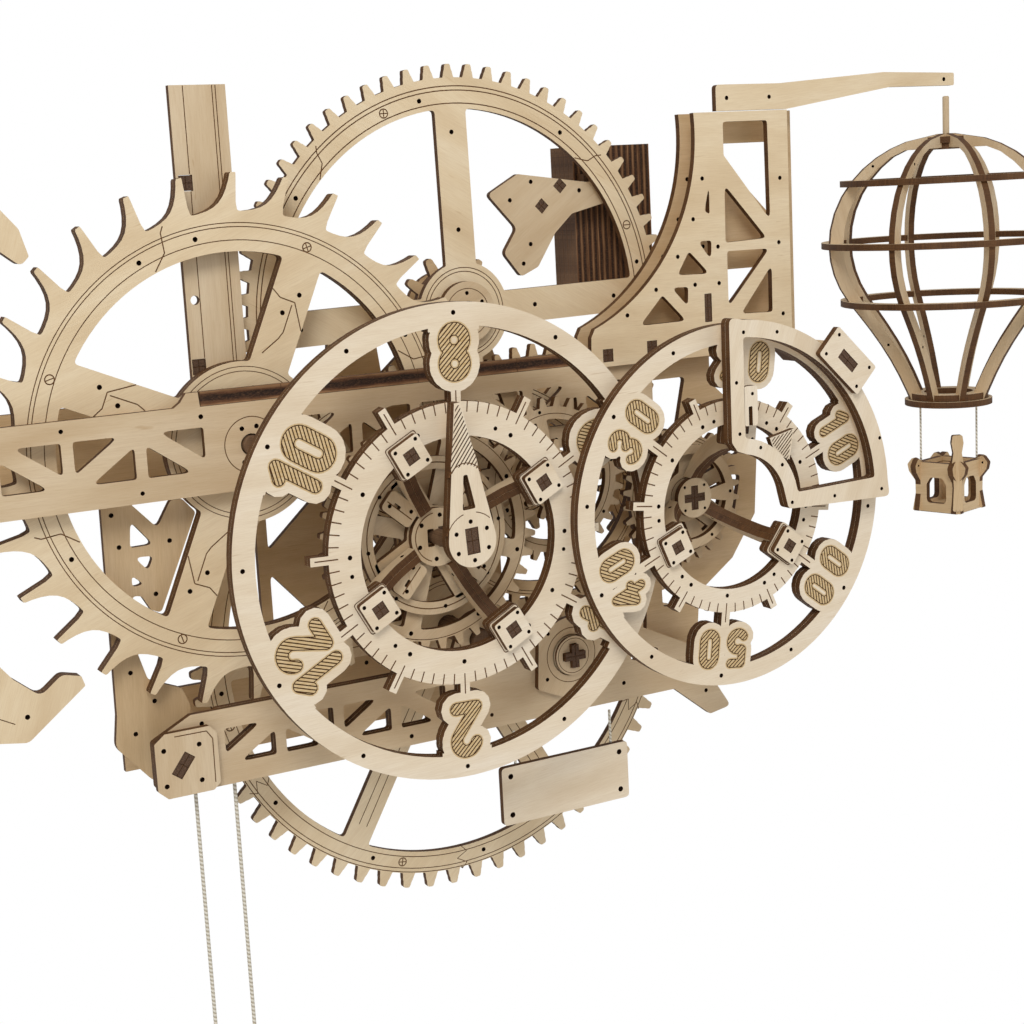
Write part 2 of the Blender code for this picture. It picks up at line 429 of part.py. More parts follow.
def balloon_r(z):
    """Envelope radius at a height from the widest ring: a dome above and a cone below."""
    if z >= -28:
        return BALLOON_R * math.sqrt(max(1 - (z / 52.0) ** 2, 0.0))
    t = (-28 - z) / (81.0 - 28)
    return 50.6 + (18.5 - 50.6) * t - 3.0 * math.sin(math.pi * t)


zs = [-80.5, -58, -42, -28, -14, 0, 16, 30, 41, 49]
prof = [(balloon_r(z), z) for z in zs]
inn = [(max(r - 7.5, 3.0) if z > 44 else r - 7.5, z if z < 44 else z - 6.0) for r, z in prof]
inn[0] = (prof[0][0] - 7.5, -80.5)
halfrib = prof + [(4.0, 52.0), (4.0, 45.5)] + [(r, min(z, 45.0)) for r, z in reversed(inn)]


def rib(name, deg):
    cu = bpy.data.curves.new(name, "CURVE"); cu.dimensions = "2D"; cu.fill_mode = "BOTH"; cu.extrude = 0.0015
    sp = cu.splines.new("POLY"); sp.points.add(len(halfrib) - 1); sp.use_cyclic_u = True
    for p, (r, z) in zip(sp.points, halfrib):
        p.co = (r / 1000, z / 1000, 0, 1)
    o = bpy.data.objects.new(name, cu); o.rotation_euler = (math.pi / 2, 0, math.radians(deg)); o.location = at(bx, bd, bz); CUT.objects.link(o)
    return o


def ring(name, z, r1, r0, h=3.0, mat="birch", n=28, link=True):
    cu = bpy.data.curves.new(name, "CURVE"); cu.dimensions = "2D"; cu.fill_mode = "BOTH"; cu.extrude = h / 2000
    for rr in (r1, r0):
        if rr is None:
            continue
        sp = cu.splines.new("POLY"); sp.points.add(n - 1); sp.use_cyclic_u = True
        for p, (x, y) in zip(sp.points, circle(rr, n)):
            p.co = (x / 1000, y / 1000, 0, 1)
    o = bpy.data.objects.new(name, cu); o.location = at(bx, bd, bz + z)
    if link:
        MODEL.objects.link(o); own(o, mat)
    else:
        CUT.objects.link(o)
    return o


ribs = [rib(f"rib{k}", 22.5 + 45 * k) for k in range(8)]
base = ring("balloon_base", -80.0, 21.5, 9.0, 4.0, n=32, link=False)
topd = ring("balloon_top", 47.5, 10.0, None, 6.0, n=24, link=False)
hook = ring("balloon_hook", 60.0, 1.6, None, 20.0, n=12, link=False)
fuse("balloon_ribs", base, ribs + [topd, hook])
for nm, z in (("balloon_ring_upper", 30.0), ("balloon_ring_middle", 0.0), ("balloon_ring_lower", -29.0)):
    rr = max(balloon_r(z - 1.6), balloon_r(z + 1.6))
    ring(nm, z, rr + 2.4, rr + 0.4)
# a small square basket that stands with one corner to the front: four openwork sides, a floor and a knob on the front corner
BK, BH = 0.53, 10.6
bask = [(x * BK, z) for x, z in ((-26, -135.5), (-24.5, -131.5), (-22.5, -126), (-23.0, -120), (-30.0, -115.5), (-31.5, -112.0), (-26.0, -108.5), (-18.0, -110.5), (18.0, -110.5), (26.0, -108.5), (31.5, -112.0), (30.0, -115.5), (23.0, -120), (22.5, -126), (24.5, -131.5), (26, -135.5))]
arch = [(-5.6, -131.0), (5.6, -131.0), (5.6, -121.5), (3.4, -118.0), (-3.4, -118.0), (-5.6, -121.5)]
turn_b = math.radians(16.4)
sides = []
for k in range(4):
    cu = bpy.data.curves.new(f"bk{k}", "CURVE"); cu.dimensions = "2D"; cu.fill_mode = "BOTH"; cu.extrude = 0.0015
    for pts in (bask, arch):
        sp = cu.splines.new("POLY"); sp.points.add(len(pts) - 1); sp.use_cyclic_u = True
        for p, (x, z) in zip(sp.points, pts):
            p.co = (x / 1000, z / 1000, 0, 1)
    o = bpy.data.objects.new(f"bk{k}", cu); a = turn_b + k * math.pi / 2
    o.rotation_euler = (math.pi / 2, 0, a); o.location = at(bx + BH * math.sin(a), bd - BH * math.cos(a), bz); CUT.objects.link(o)
    sides.append(o)
floor = block("basket_floor", (bx - 11.3, bx + 11.3), (bd - 11.3, bd + 11.3), (bz - 136.0, bz - 132.5)); floor.rotation_euler = (0, 0, turn_b)
ka = turn_b + math.radians(225)
kx, kd = bx + 16.4 * math.cos(ka), bd + 16.4 * math.sin(ka)
knob = block("basket_knob", (kx - 3.0, kx + 3.0), (kd - 1.5, kd + 1.5), (bz - 134.0, bz - 95.5)); knob.rotation_euler = (0, 0, turn_b - math.pi / 4)
fuse("balloon_basket", floor, sides + [knob])
STR = 27.1            # each string, from under the base ring to the basket's corner
cord("balloon_string_left", [(bx - 12.4, bd + 6.8, bz - 82.6 - k * STR / 8) for k in range(9)], 1.0)
cord("balloon_string_right", [(bx + 12.4, bd - 6.8, bz - 82.6 - k * STR / 8) for k in range(9)], 1.0)

# ---------------------------------------------------------------- nameplate
NP_Z = -103.5
plate("nameplate", [(30.5, -139), (97, -139), (97, -112), (30.5, -112)], [circle(1.6, 10, (35, -116.5)), circle(1.6, 10, (92.5, -116.5)), circle(1.6, 10, (35, -134.5)), circle(1.6, 10, (92.5, -134.5))], (33.0, 36.0))
for nm, x in (("nameplate_loop_left", 38.5), ("nameplate_loop_right", 89.0)):
    cord(nm, [(x, 34.5, -96.0 - k * 15.6 / 6) for k in range(7)], 1.2)

# ---------------------------------------------------------------- weight
WX, WD, W_TOP = -97.8, 47.0, -232.0
bm = bmesh.new(); bmesh.ops.create_cone(bm, cap_ends=True, segments=32, radius1=0.02, radius2=0.02, depth=0.06)
own(mesh_object("weight", bm, at(WX, WD, W_TOP - 30.3), MODEL), "birch")
for nm, x in (("weight_cord_left", -106.4), ("weight_cord_right", -89.2)):
    cord(nm, [(x, WD, -95.0 - k * (-95.0 - W_TOP) / 60) for k in range(61)], 1.6)
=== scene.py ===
"""Looks for the plywood wall clock: laser-cut plates with engraved lines, pins, tenons and charred edges."""
import bpy, bmesh, math
import numpy as np
from mathutils import Vector, Matrix, geometry


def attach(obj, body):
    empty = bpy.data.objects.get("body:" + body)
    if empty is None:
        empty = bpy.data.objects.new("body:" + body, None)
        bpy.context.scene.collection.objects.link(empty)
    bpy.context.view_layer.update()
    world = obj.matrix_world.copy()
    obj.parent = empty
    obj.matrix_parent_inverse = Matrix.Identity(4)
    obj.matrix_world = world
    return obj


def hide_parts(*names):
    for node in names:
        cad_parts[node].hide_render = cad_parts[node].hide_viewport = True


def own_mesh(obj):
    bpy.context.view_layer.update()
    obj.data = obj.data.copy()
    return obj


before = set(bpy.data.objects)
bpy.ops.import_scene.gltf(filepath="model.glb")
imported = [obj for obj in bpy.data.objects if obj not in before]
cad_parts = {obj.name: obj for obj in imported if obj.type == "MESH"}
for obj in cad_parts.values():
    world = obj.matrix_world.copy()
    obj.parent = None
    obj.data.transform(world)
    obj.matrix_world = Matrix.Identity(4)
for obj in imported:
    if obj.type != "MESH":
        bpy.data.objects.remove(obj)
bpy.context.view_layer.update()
WALL, DROP = 100.0, 46.0
HOUR, MINUTE, ESCAPE = (0.0, 0.0), (133.4, -1.0), (-73.0, 46.0)
INTER, PIVOT, WINDER, DRIVE = (63.6, 15.3), (-230.0, 31.0), (70.5, -66.5), (26.5, -52.7)
BALLOON = (298.5, 36.5, 106.0)


def at(x, d, z):
    return Vector((x / 1000, (d - WALL) / 1000, (z - DROP) / 1000))


# ================================================================ camera, light, floor
scene = bpy.context.scene
cam = bpy.data.cameras.new("camera"); cam_o = bpy.data.objects.new("camera", cam); scene.collection.objects.link(cam_o)
right = Vector((0.87282247, -0.4852562, -0.05203228)); up = Vector((0.13146492, 0.1311017, 0.98261351)); back = -Vector((0.46999778, 0.86448757, -0.17822268))
m = Matrix((right, up, back)).transposed().to_4x4(); m.translation = Vector((-0.327117, -0.747383, 0.097983))
cam_o.matrix_world = m
cam.sensor_width = 36.0; cam.lens = 63.0961; cam.clip_start = 0.01; cam.clip_end = 50.0; cam.shift_y = -0.00098
scene.camera = cam_o
scene.view_settings.view_transform = "Standard"
world = bpy.data.worlds.new("studio"); scene.world = world; world.use_nodes = True
wt = world.node_tree; wb = wt.nodes["Background"]; wb.inputs[0].default_value = (1.0, 0.99, 0.97, 1); wb.inputs[1].default_value = 0.52
wc = wt.nodes.new("ShaderNodeBackground"); wc.inputs[0].default_value = (1.0, 1.0, 1.0, 1); wc.inputs[1].default_value = 1.0
lp = wt.nodes.new("ShaderNodeLightPath"); mx = wt.nodes.new("ShaderNodeMixShader"); wo_ = wt.nodes["World Output"]
wt.links.new(lp.outputs["Is Camera Ray"], mx.inputs[0]); wt.links.new(wb.outputs[0], mx.inputs[1]); wt.links.new(wc.outputs[0], mx.inputs[2]); wt.links.new(mx.outputs[0], wo_.inputs[0])


def light(name, loc, aim, size, power, col=(1, 1, 1)):
    l = bpy.data.lights.new(name, "AREA"); l.size = size; l.energy = power; l.color = col
    o = bpy.data.objects.new(name, l); scene.collection.objects.link(o)
    o.location = loc; o.rotation_euler = (Vector(aim) - Vector(loc)).to_track_quat("-Z", "Y").to_euler()


light("key", (-0.75, -1.3, 1.2), (0.05, 0, 0), 0.7, 15.0, (1.0, 0.99, 0.97))
light("fill", (1.2, -1.4, 0.2), (0.05, 0, 0), 1.2, 2.5)
floor = bpy.data.meshes.new("floor"); bm = bmesh.new(); bmesh.ops.create_grid(bm, x_segments=1, y_segments=1, size=6.0); bm.to_mesh(floor); bm.free()
floor_o = bpy.data.objects.new("floor", floor); floor_o.location = (0, 0, -0.75); scene.collection.objects.link(floor_o)
fm = bpy.data.materials.new("floor_pale"); fm.use_nodes = True
fb = fm.node_tree.nodes["Principled BSDF"]; fb.inputs["Base Color"].default_value = (0.9, 0.9, 0.9, 1); fb.inputs["Roughness"].default_value = 0.9
fe = fm.node_tree.nodes.new("ShaderNodeEmission"); fe.inputs[0].default_value = (1, 1, 1, 1); fe.inputs[1].default_value = 1.0
fl = fm.node_tree.nodes.new("ShaderNodeLightPath"); fx = fm.node_tree.nodes.new("ShaderNodeMixShader"); fo_ = fm.node_tree.nodes["Material Output"]
fm.node_tree.links.new(fl.outputs["Is Camera Ray"], fx.inputs[0]); fm.node_tree.links.new(fb.outputs[0], fx.inputs[1]); fm.node_tree.links.new(fe.outputs[0], fx.inputs[2]); fm.node_tree.links.new(fx.outputs[0], fo_.inputs[0])
floor.materials.append(fm)


# ================================================================ materials
class Nodes:
    def __init__(self, name):
        self.m = bpy.data.materials.new(name); self.m.use_nodes = True; self.t = self.m.node_tree; self.b = self.t.nodes["Principled BSDF"]

    def n(self, kind, **k):
        x = self.t.nodes.new(kind)
        for a, v in k.items():
            setattr(x, a, v)
        return x

    def link(self, a, b):
        self.t.links.new(a, b)

    def attr(self, name="wood"):
        return self.n("ShaderNodeAttribute", attribute_name=name).outputs["Vector"]

    def scaled(self, src, s):
        x = self.n("ShaderNodeMapping"); x.inputs["Scale"].default_value = s; self.link(src, x.inputs["Vector"]); return x.outputs[0]

    def noise(self, src, scale, detail=3.0, rough=0.55, dist=0.0):
        x = self.n("ShaderNodeTexNoise"); x.inputs["Scale"].default_value = scale; x.inputs["Detail"].default_value = detail
        x.inputs["Roughness"].default_value = rough; x.inputs["Distortion"].default_value = dist; self.link(src, x.inputs["Vector"]); return x.outputs[0]

    def ramp(self, fac, stops):
        x = self.n("ShaderNodeValToRGB"); e = x.color_ramp.elements
        e[0].position, e[0].color = stops[0][0], (*stops[0][1], 1)
        e[1].position, e[1].color = stops[-1][0], (*stops[-1][1], 1)
        for p, c in stops[1:-1]:
            y = e.new(p); y.color = (*c, 1)
        self.link(fac, x.inputs[0]); return x.outputs[0]

    def mix(self, fac, a, b, mode="MIX"):
        x = self.n("ShaderNodeMix", data_type="RGBA", blend_type=mode)
        for s, v in ((x.inputs[0], fac), (x.inputs[6], a), (x.inputs[7], b)):
            if hasattr(v, "links") or hasattr(v, "is_linked"):
                self.link(v, s)
            elif isinstance(v, tuple):
                s.default_value = (*v, 1)
            else:
                s.default_value = v
        return x.outputs[2]

    def math(self, op, a, b=0.0):
        x = self.n("ShaderNodeMath", operation=op)
        for s, v in ((x.inputs[0], a), (x.inputs[1], b)):
            if hasattr(v, "is_linked"):
                self.link(v, s)
            else:
                s.default_value = v
        return x.outputs[0]

    def bump(self, h, dist, strength=1.0):
        x = self.n("ShaderNodeBump"); x.inputs["Distance"].default_value = dist; x.inputs["Strength"].default_value = strength
        self.link(h, x.inputs["Height"]); self.link(x.outputs[0], self.b.inputs["Normal"])


def g1(v):
    return (v, v, v)


def face_material(name, lo, mid, hi, streak):
    """Birch veneer: along the grain in x, across in y, both in millimetres."""
    N = Nodes(name); p = N.attr()
    tone = N.noise(N.scaled(p, (0.012, 0.05, 0.0)), 1.0, 2.0)
    fibre = N.noise(N.scaled(p, (0.12, 2.6, 0.4)), 1.0, 4.0, 0.62)
    rings = N.noise(N.scaled(p, (0.03, 0.42, 0.1)), 1.0, 3.0, 0.5, 0.6)
    c = N.ramp(tone, [(0.30, lo), (0.5, mid), (0.72, hi)])
    c = N.mix(N.ramp(rings, [(0.35, g1(0.0)), (0.75, g1(0.38))]), c, lo)
    c = N.mix(N.ramp(fibre, [(0.42, g1(0.0)), (0.78, g1(0.30))]), c, streak)
    fleck = N.noise(N.scaled(p, (0.05, 0.55, 0.2)), 1.0, 2.0, 0.5, 1.0)
    c = N.mix(N.ramp(fleck, [(0.70, g1(0.0)), (0.80, g1(0.55))]), c, streak)
    pore = N.noise(N.scaled(p, (0.9, 7.0, 1.0)), 1.0, 2.0)
    c = N.mix(N.ramp(pore, [(0.62, g1(0.0)), (0.75, g1(0.22))]), c, streak)
    N.link(c, N.b.inputs["Base Color"])
    N.link(N.ramp(fibre, [(0.3, g1(0.52)), (0.8, g1(0.72))]), N.b.inputs["Roughness"])
    N.b.inputs["Specular IOR Level"].default_value = 0.35
    N.bump(N.math("ADD", fibre, N.math("MULTIPLY", pore, 0.6)), 0.00008, 0.55)
    return N.m


def edge_material(name, dark, brown, pale, amount):
    """Laser-cut edge: charred brown, plies one millimetre apart through the sheet, finer marks along the cut."""
    N = Nodes(name); p = N.attr(); sep = N.n("ShaderNodeSeparateXYZ"); N.link(p, sep.inputs[0])
    saw = N.math("PINGPONG", sep.outputs[2], 1.0)
    band = N.ramp(saw, [(0.0, g1(0.15)), (0.35, g1(0.75)), (0.8, g1(0.35)), (1.0, g1(0.9))])
    marks = N.noise(N.scaled(p, (1.6, 1.6, 0.15)), 1.0, 3.0, 0.6)
    broad = N.noise(N.scaled(p, (0.07, 0.07, 0.02)), 1.0, 2.0)
    c = N.ramp(N.math("ADD", N.math("MULTIPLY", band, 0.45), N.math("MULTIPLY", marks, 0.6)), [(0.25, dark), (0.62, brown), (0.95, pale)])
    c = N.mix(N.ramp(broad, [(0.35, g1(0.0)), (0.7, g1(amount))]), c, pale)
    N.link(c, N.b.inputs["Base Color"]); N.b.inputs["Roughness"].default_value = 0.62; N.b.inputs["Specular IOR Level"].default_value = 0.3
    N.bump(N.math("ADD", marks, band), 0.00012, 0.6)
    return N.m


def line_material(name, dark, brown):
    N = Nodes(name); p = N.attr()
    c = N.ramp(N.noise(p, 1.3, 3.0), [(0.3, dark), (0.7, brown)])
    N.link(c, N.b.inputs["Base Color"]); N.b.inputs["Roughness"].default_value = 0.8; N.b.inputs["Specular IOR Level"].default_value = 0.15
    N.bump(N.noise(p, 4.0, 2.0), 0.00005, 0.5)
    return N.m


PALE = face_material("birch_face_pale", (0.78, 0.635, 0.455), (0.885, 0.755, 0.575), (0.93, 0.82, 0.665), (0.56, 0.38, 0.20))
WHEEL = face_material("birch_face_wheel", (0.74, 0.57, 0.36), (0.84, 0.68, 0.455), (0.90, 0.76, 0.545), (0.54, 0.34, 0.15))
FACE = face_material("birch_face", (0.60, 0.44, 0.265), (0.70, 0.545, 0.355), (0.78, 0.635, 0.445), (0.46, 0.28, 0.13))
# Darker birch for the rear plates, pinions, wall parts and the basket: partly the wood's own darker tone, partly
# painted shade for the deep layers.
REAR_TONE_AND_SHADE = face_material("birch_face_rear_tone_and_shade", (0.56, 0.385, 0.205), (0.67, 0.485, 0.28), (0.75, 0.57, 0.36), (0.38, 0.22, 0.10))
EDGE = edge_material("charred_edge", (0.032, 0.012, 0.004), (0.105, 0.044, 0.014), (0.25, 0.12, 0.042), 0.28)
RAIL = edge_material("charred_stack", (0.022, 0.010, 0.006), (0.12, 0.055, 0.024), (0.34, 0.19, 0.09), 0.4)
def stack_material(name, axis, lo, hi, step):
    """A stack of sheets seen from the edge: black char in the middle, brown and a few pale streaks towards its sides."""
    N = Nodes(name); p = N.attr(); sep = N.n("ShaderNodeSeparateXYZ"); N.link(p, sep.inputs[0])
    u = N.math("DIVIDE", N.math("SUBTRACT", sep.outputs[axis], lo), hi - lo)
    if step:
        u = N.math("PINGPONG", N.math("MULTIPLY", u, (hi - lo) / step), 1.0)
    along = (0.5, 0.06, 0.2) if axis == 0 else (0.06, 0.5, 0.2)
    streak = N.noise(N.scaled(p, along), 1.0, 4.0, 0.65)
    fine = N.noise(N.scaled(p, (0.9, 2.2, 1.5)), 1.0, 3.0, 0.6)
    v = N.math("ADD", u, N.math("MULTIPLY", N.math("SUBTRACT", streak, 0.5), 0.55))
    c = N.ramp(v, [(0.02, (0.36, 0.20, 0.10)), (0.16, (0.15, 0.065, 0.028)), (0.34, (0.030, 0.013, 0.008)), (0.62, (0.018, 0.009, 0.006)), (0.80, (0.11, 0.046, 0.02)), (1.0, (0.30, 0.165, 0.08))])
    c = N.mix(N.ramp(fine, [(0.45, g1(0.0)), (0.80, g1(0.5))]), c, (0.24, 0.12, 0.055))
    N.link(c, N.b.inputs["Base Color"]); N.b.inputs["Roughness"].default_value = 0.6; N.b.inputs["Specular IOR Level"].default_value = 0.3
    N.bump(N.math("ADD", fine, streak), 0.0002, 0.7)
    return N.m


RAIL_FACE = stack_material("rail_stack", 1, 63.8, 69.5, 0)
BLOCK_FACE = stack_material("block_stack", 0, 107.0, 149.0, 3.0)
LINE = line_material("engraving", (0.085, 0.036, 0.014), (0.24, 0.115, 0.045))
HATCH = line_material("hatching", (0.040, 0.018, 0.009), (0.13, 0.058, 0.022))
PIN = line_material("burnt_pin", (0.012, 0.006, 0.004), (0.05, 0.022, 0.010))
TENON = edge_material("tenon_end", (0.030, 0.014, 0.008), (0.13, 0.07, 0.035), (0.30, 0.18, 0.10), 0.3)
MATS = {"birch": [FACE, EDGE, LINE], "pale": [PALE, EDGE, LINE], "wheel": [WHEEL, EDGE, LINE], "birch_rear": [REAR_TONE_AND_SHADE, EDGE, LINE], "laminate": [BLOCK_FACE, RAIL, RAIL], "rail": [RAIL_FACE, RAIL, RAIL_FACE], "tenon": [TENON, EDGE, LINE]}


# ================================================================ outlines, in millimetres
def circle(r, n=48, c=(0, 0), a0=0.0):
    return [(c[0] + r * math.cos(a0 + 2 * math.pi * k / n), c[1] + r * math.sin(a0 + 2 * math.pi * k / n)) for k in range(n)]


def arc(r, a0, a1, n, c=(0, 0)):
    return [(c[0] + r * math.cos(math.radians(a0 + (a1 - a0) * k / (n - 1))), c[1] + r * math.sin(math.radians(a0 + (a1 - a0) * k / (n - 1)))) for k in range(n)]


def pol(r, a, c=(0, 0)):
    return (c[0] + r * math.cos(math.radians(a)), c[1] + r * math.sin(math.radians(a)))


def turn(pts, deg, c=(0, 0)):
    a = math.radians(deg); ca, sa = math.cos(a), math.sin(a)
    return [(c[0] + x * ca - y * sa, c[1] + x * sa + y * ca) for x, y in pts]


def rect(cx, cz, w, h, deg=0.0):
    return turn([(-w / 2, -h / 2), (w / 2, -h / 2), (w / 2, h / 2), (-w / 2, h / 2)], deg, (cx, cz))


def rounded(pts, r, n=4):
    """Corners cut back to an arc of about that radius; r may be a list, one for each corner."""
    out = []; N = len(pts)
    for i in range(N):
        p = Vector(pts[i]); a = Vector(pts[i - 1]) - p; b = Vector(pts[(i + 1) % N]) - p
        ri = r[i] if isinstance(r, (list, tuple)) else r
        if ri <= 0 or a.length < 1e-6 or b.length < 1e-6:
            out.append(tuple(p)); continue
        ang = a.angle(b)
        if ang > math.radians(172):
            out.append(tuple(p)); continue
        t = min(ri / math.tan(ang / 2), 0.48 * a.length, 0.48 * b.length)
        s, e = p + a.normalized() * t, p + b.normalized() * t
        for k in range(n + 1):
            u = k / n
            out.append(tuple((1 - u) ** 2 * s + 2 * u * (1 - u) * p + u * u * e))
    return out


def capsule(p, q, r, n=7):
    a = math.degrees(math.atan2(q[1] - p[1], q[0] - p[0]))
    return arc(r, a - 90, a + 90, n, q) + arc(r, a + 90, a + 270, n, p)


def stroke(pts, r, closed=False):
    """A pen stroke of radius r along points: one capsule for each piece."""
    seq = list(zip(pts, pts[1:] + pts[:1])) if closed else list(zip(pts, pts[1:]))
    return [capsule(p, q, r) for p, q in seq]


def bar(p, q, w):
    """A straight line of width w."""
    d = Vector((q[0] - p[0], q[1] - p[1])); l = d.length or 1e-9; n = Vector((-d.y, d.x)) / l * (w / 2)
    return [(p[0] - n.x, p[1] - n.y), (q[0] - n.x, q[1] - n.y), (q[0] + n.x, q[1] + n.y), (p[0] + n.x, p[1] + n.y)]


def path_line(pts, w=0.5):
    return [(bar(p, q, w), G) for p, q in zip(pts, pts[1:])]


def gear(n, m, phase, add=0.75, ded=1.05, wt=0.20, wr=0.56, wp=0.40):
    r = m * n / 2; p = 2 * math.pi / n; out = []
    for k in range(n):
        a = math.radians(phase) + k * p
        side = [(r - ded * m, wr), (r - ded * 0.80 * m, wr * 0.90), (r - 0.30 * m, (wp + wr) / 2 * 0.88), (r, wp * 0.86), (r + add * 0.55 * m, wp * 0.74), (r + add * 0.9 * m, wt * 1.15), (r + add * m, wt * 0.65)]
        for rr, w in side:
            t = a - w * p / 2; out.append((rr * math.cos(t), rr * math.sin(t)))
        for rr, w in side[::-1]:
            t = a + w * p / 2; out.append((rr * math.cos(t), rr * math.sin(t)))
    return out


def mate(c1, n1, ph1, c2, n2):
    al = math.degrees(math.atan2(c2[1] - c1[1], c2[0] - c1[0]))
    u = (al - ph1) * n1 / 360.0
    return al + 180.0 - ((0.5 - u) % 1.0) * 360.0 / n2


def meet(c1, r1, c2, r2):
    dx, dz = c2[0] - c1[0], c2[1] - c1[1]; d = math.hypot(dx, dz)
    a = (r1 * r1 - r2 * r2 + d * d) / (2 * d); h = math.sqrt(r1 * r1 - a * a)
    return (c1[0] + a * dx / d - h * dz / d, c1[1] + a * dz / d + h * dx / d)


def sector(r0, r1, a0, a1, width, corner=3.0, n=18):
    """Opening between two spokes whose centre lines are at a0 and a1."""
    e0 = math.degrees(math.asin(width / 2 / r0)); e1 = math.degrees(math.asin(width / 2 / r1))
    o = arc(r1, a0 + e1, a1 - e1, n); i = arc(r0, a1 - e0, a0 + e0, max(4, n // 2))
    rr = [corner] + [0] * (n - 2) + [corner, corner] + [0] * (len(i) - 2) + [corner]
    return rounded(o + i, rr)


M_GREAT = 3.165
GREAT = meet(ESCAPE, M_GREAT * 38, MINUTE, M_GREAT * 41.5)
M_DRIVE = 2 * math.dist(DRIVE, GREAT) / 74
M_IW = 2 * math.dist(INTER, MINUTE) / 50
M_HW = 2 * math.dist(INTER, HOUR) / 48

G = 0.22        # engraving depth
B = 2.1         # blind pin hole
H = 0.21        # hatching


# ================================================================ plates
def area(p):
    return sum(p[i - 1][0] * p[i][1] - p[i][0] * p[i - 1][1] for i in range(len(p))) / 2


def relief(name, paint, thick, world_m, mats, grain=0.0, seed=0.0):
    """A sheet cut and engraved from painted areas: paint holds (outline, level[, group, only_in]); a later one wins.
    Level None is a hole, 0 the face, more an engraving of that depth. world_m takes (x, y, depth) in mm to metres."""
    verts, faces = [], []; info = []
    for item in paint:
        poly, level = item[0], item[1]
        group = item[2] if len(item) > 2 else None; only = item[3] if len(item) > 3 else None
        if len(poly) < 3:
            continue
        if area(poly) < 0:
            poly = poly[::-1]
        k = len(verts); verts += [Vector(p) for p in poly]; faces.append(list(range(k, k + len(poly)))); info.append((level, group, only))
    vo, _e, fo, _v, _oe, _ids = geometry.delaunay_2d_cdt(verts, [], faces, 1, 1e-5)
    V = np.array([tuple(v) for v in vo]); cen = np.array([V[f].mean(axis=0) for f in fo]); lev = np.full(len(fo), np.nan); inside = {}
    for f, (l, g, only) in zip(faces, info):
        q = np.array([tuple(verts[i]) for i in f]); lo, hi = q.min(axis=0), q.max(axis=0)
        near = np.nonzero((cen[:, 0] >= lo[0]) & (cen[:, 0] <= hi[0]) & (cen[:, 1] >= lo[1]) & (cen[:, 1] <= hi[1]))[0]
        if not len(near):
            continue
        x, y = cen[near, 0], cen[near, 1]; ins = np.zeros(len(near), bool)
        for (x0, y0), (x1, y1) in zip(q, np.roll(q, -1, axis=0)):
            if y0 != y1:
                ins ^= ((y0 > y) != (y1 > y)) & (x < (x1 - x0) * (y - y0) / (y1 - y0) + x0)
        hit = near[ins]
        if only is not None:
            hit = hit[inside.setdefault(only, np.zeros(len(fo), bool))[hit]]
        if g is not None:
            inside.setdefault(g, np.zeros(len(fo), bool))[hit] = True
        lev[hit] = np.nan if l is None else l
    levels = [None if math.isnan(v) else float(v) for v in lev]
    owner = {}
    for fi, f in enumerate(fo):
        if levels[fi] is None:
            continue
        for a, b in zip(f, f[1:] + f[:1]):
            owner[(a, b)] = fi
    at_v = {}
    for fi, f in enumerate(fo):
        if levels[fi] is None:
            continue
        for v in f:
            at_v.setdefault(v, {thick}).add(levels[fi])
    sorted_v = {v: sorted(s) for v, s in at_v.items()}
    index = {}; co = []

    def vid(v, h):
        k = (v, h)
        if k not in index:
            index[k] = len(co); co.append((vo[v][0], vo[v][1], h))
        return index[k]

    polys, mi = [], []
    for fi, f in enumerate(fo):
        lv = levels[fi]
        if lv is None:
            continue
        polys.append([vid(v, lv) for v in f]); mi.append(0 if lv == 0 else 3 if lv == S else 4 if lv == B else 5 if lv == H else 2)
        polys.append([vid(v, thick) for v in reversed(f)]); mi.append(0)
        for a, b in zip(f, f[1:] + f[:1]):
            o = owner.get((b, a)); lo = thick if o is None else levels[o]
            if lo <= lv:
                continue
            va = [vid(a, h) for h in sorted_v[a] if lv <= h <= lo]; vb = [vid(b, h) for h in sorted_v[b] if lv <= h <= lo]
            polys.append(va + vb[::-1]); mi.append(1 if o is None else 3 if lo == S else 4 if lo == B else 5 if lo == H else 2)
    me = bpy.data.meshes.new(name)
    P = [world_m @ Vector(c) for c in co]
    if world_m.to_3x3().determinant() < 0:
        pass
    me.from_pydata(P, [], polys)
    me.polygons.foreach_set("material_index", mi)
    for x in mats:
        me.materials.append(x)
    ca, sa = math.cos(math.radians(grain)), math.sin(math.radians(grain))
    C = np.array(co, float)
    W = np.c_[C[:, 0] * ca + C[:, 1] * sa + seed * 137.0, -C[:, 0] * sa + C[:, 1] * ca + seed * 71.0, C[:, 2]].astype(np.float32)
    at_ = me.attributes.new("wood", "FLOAT_VECTOR", "POINT"); at_.data.foreach_set("vector", W.ravel())
    bm = bmesh.new(); bm.from_mesh(me); bmesh.ops.recalc_face_normals(bm, faces=bm.faces); bm.to_mesh(me); bm.free()
    o = bpy.data.objects.new(name, me); scene.collection.objects.link(o)
    return o


COUNT = [0]


def seed_of():
    COUNT[0] += 1
    return (COUNT[0] * 0.618034) % 7.0


def front(centre, d0):
    """Matrix of a plate that faces the viewer: x right, y up, depth inwards, from centre and the depth of its front face."""
    m = Matrix(((0.001, 0, 0, 0), (0, 0, 0.001, 0), (0, 0.001, 0, 0), (0, 0, 0, 1)))
    m.translation = at(centre[0], d0, centre[1])
    return m


def put(name, body, paint, d, centre=(0, 0), mat="birch", grain=0.0, nodes=(), mtx=None):
    o = relief(name, paint, d[1] - d[0], mtx or front(centre, d[0]), MATS[mat], grain, 0.0 if mat in ("rail", "laminate") else seed_of())
    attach(o, body)
    if nodes:
        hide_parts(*nodes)
    return o


def pin(c, r=1.0, n=14):
    return (circle(r, n, c), B)


def pins(cs, r=1.0):
    return [pin(c, r) for c in cs]


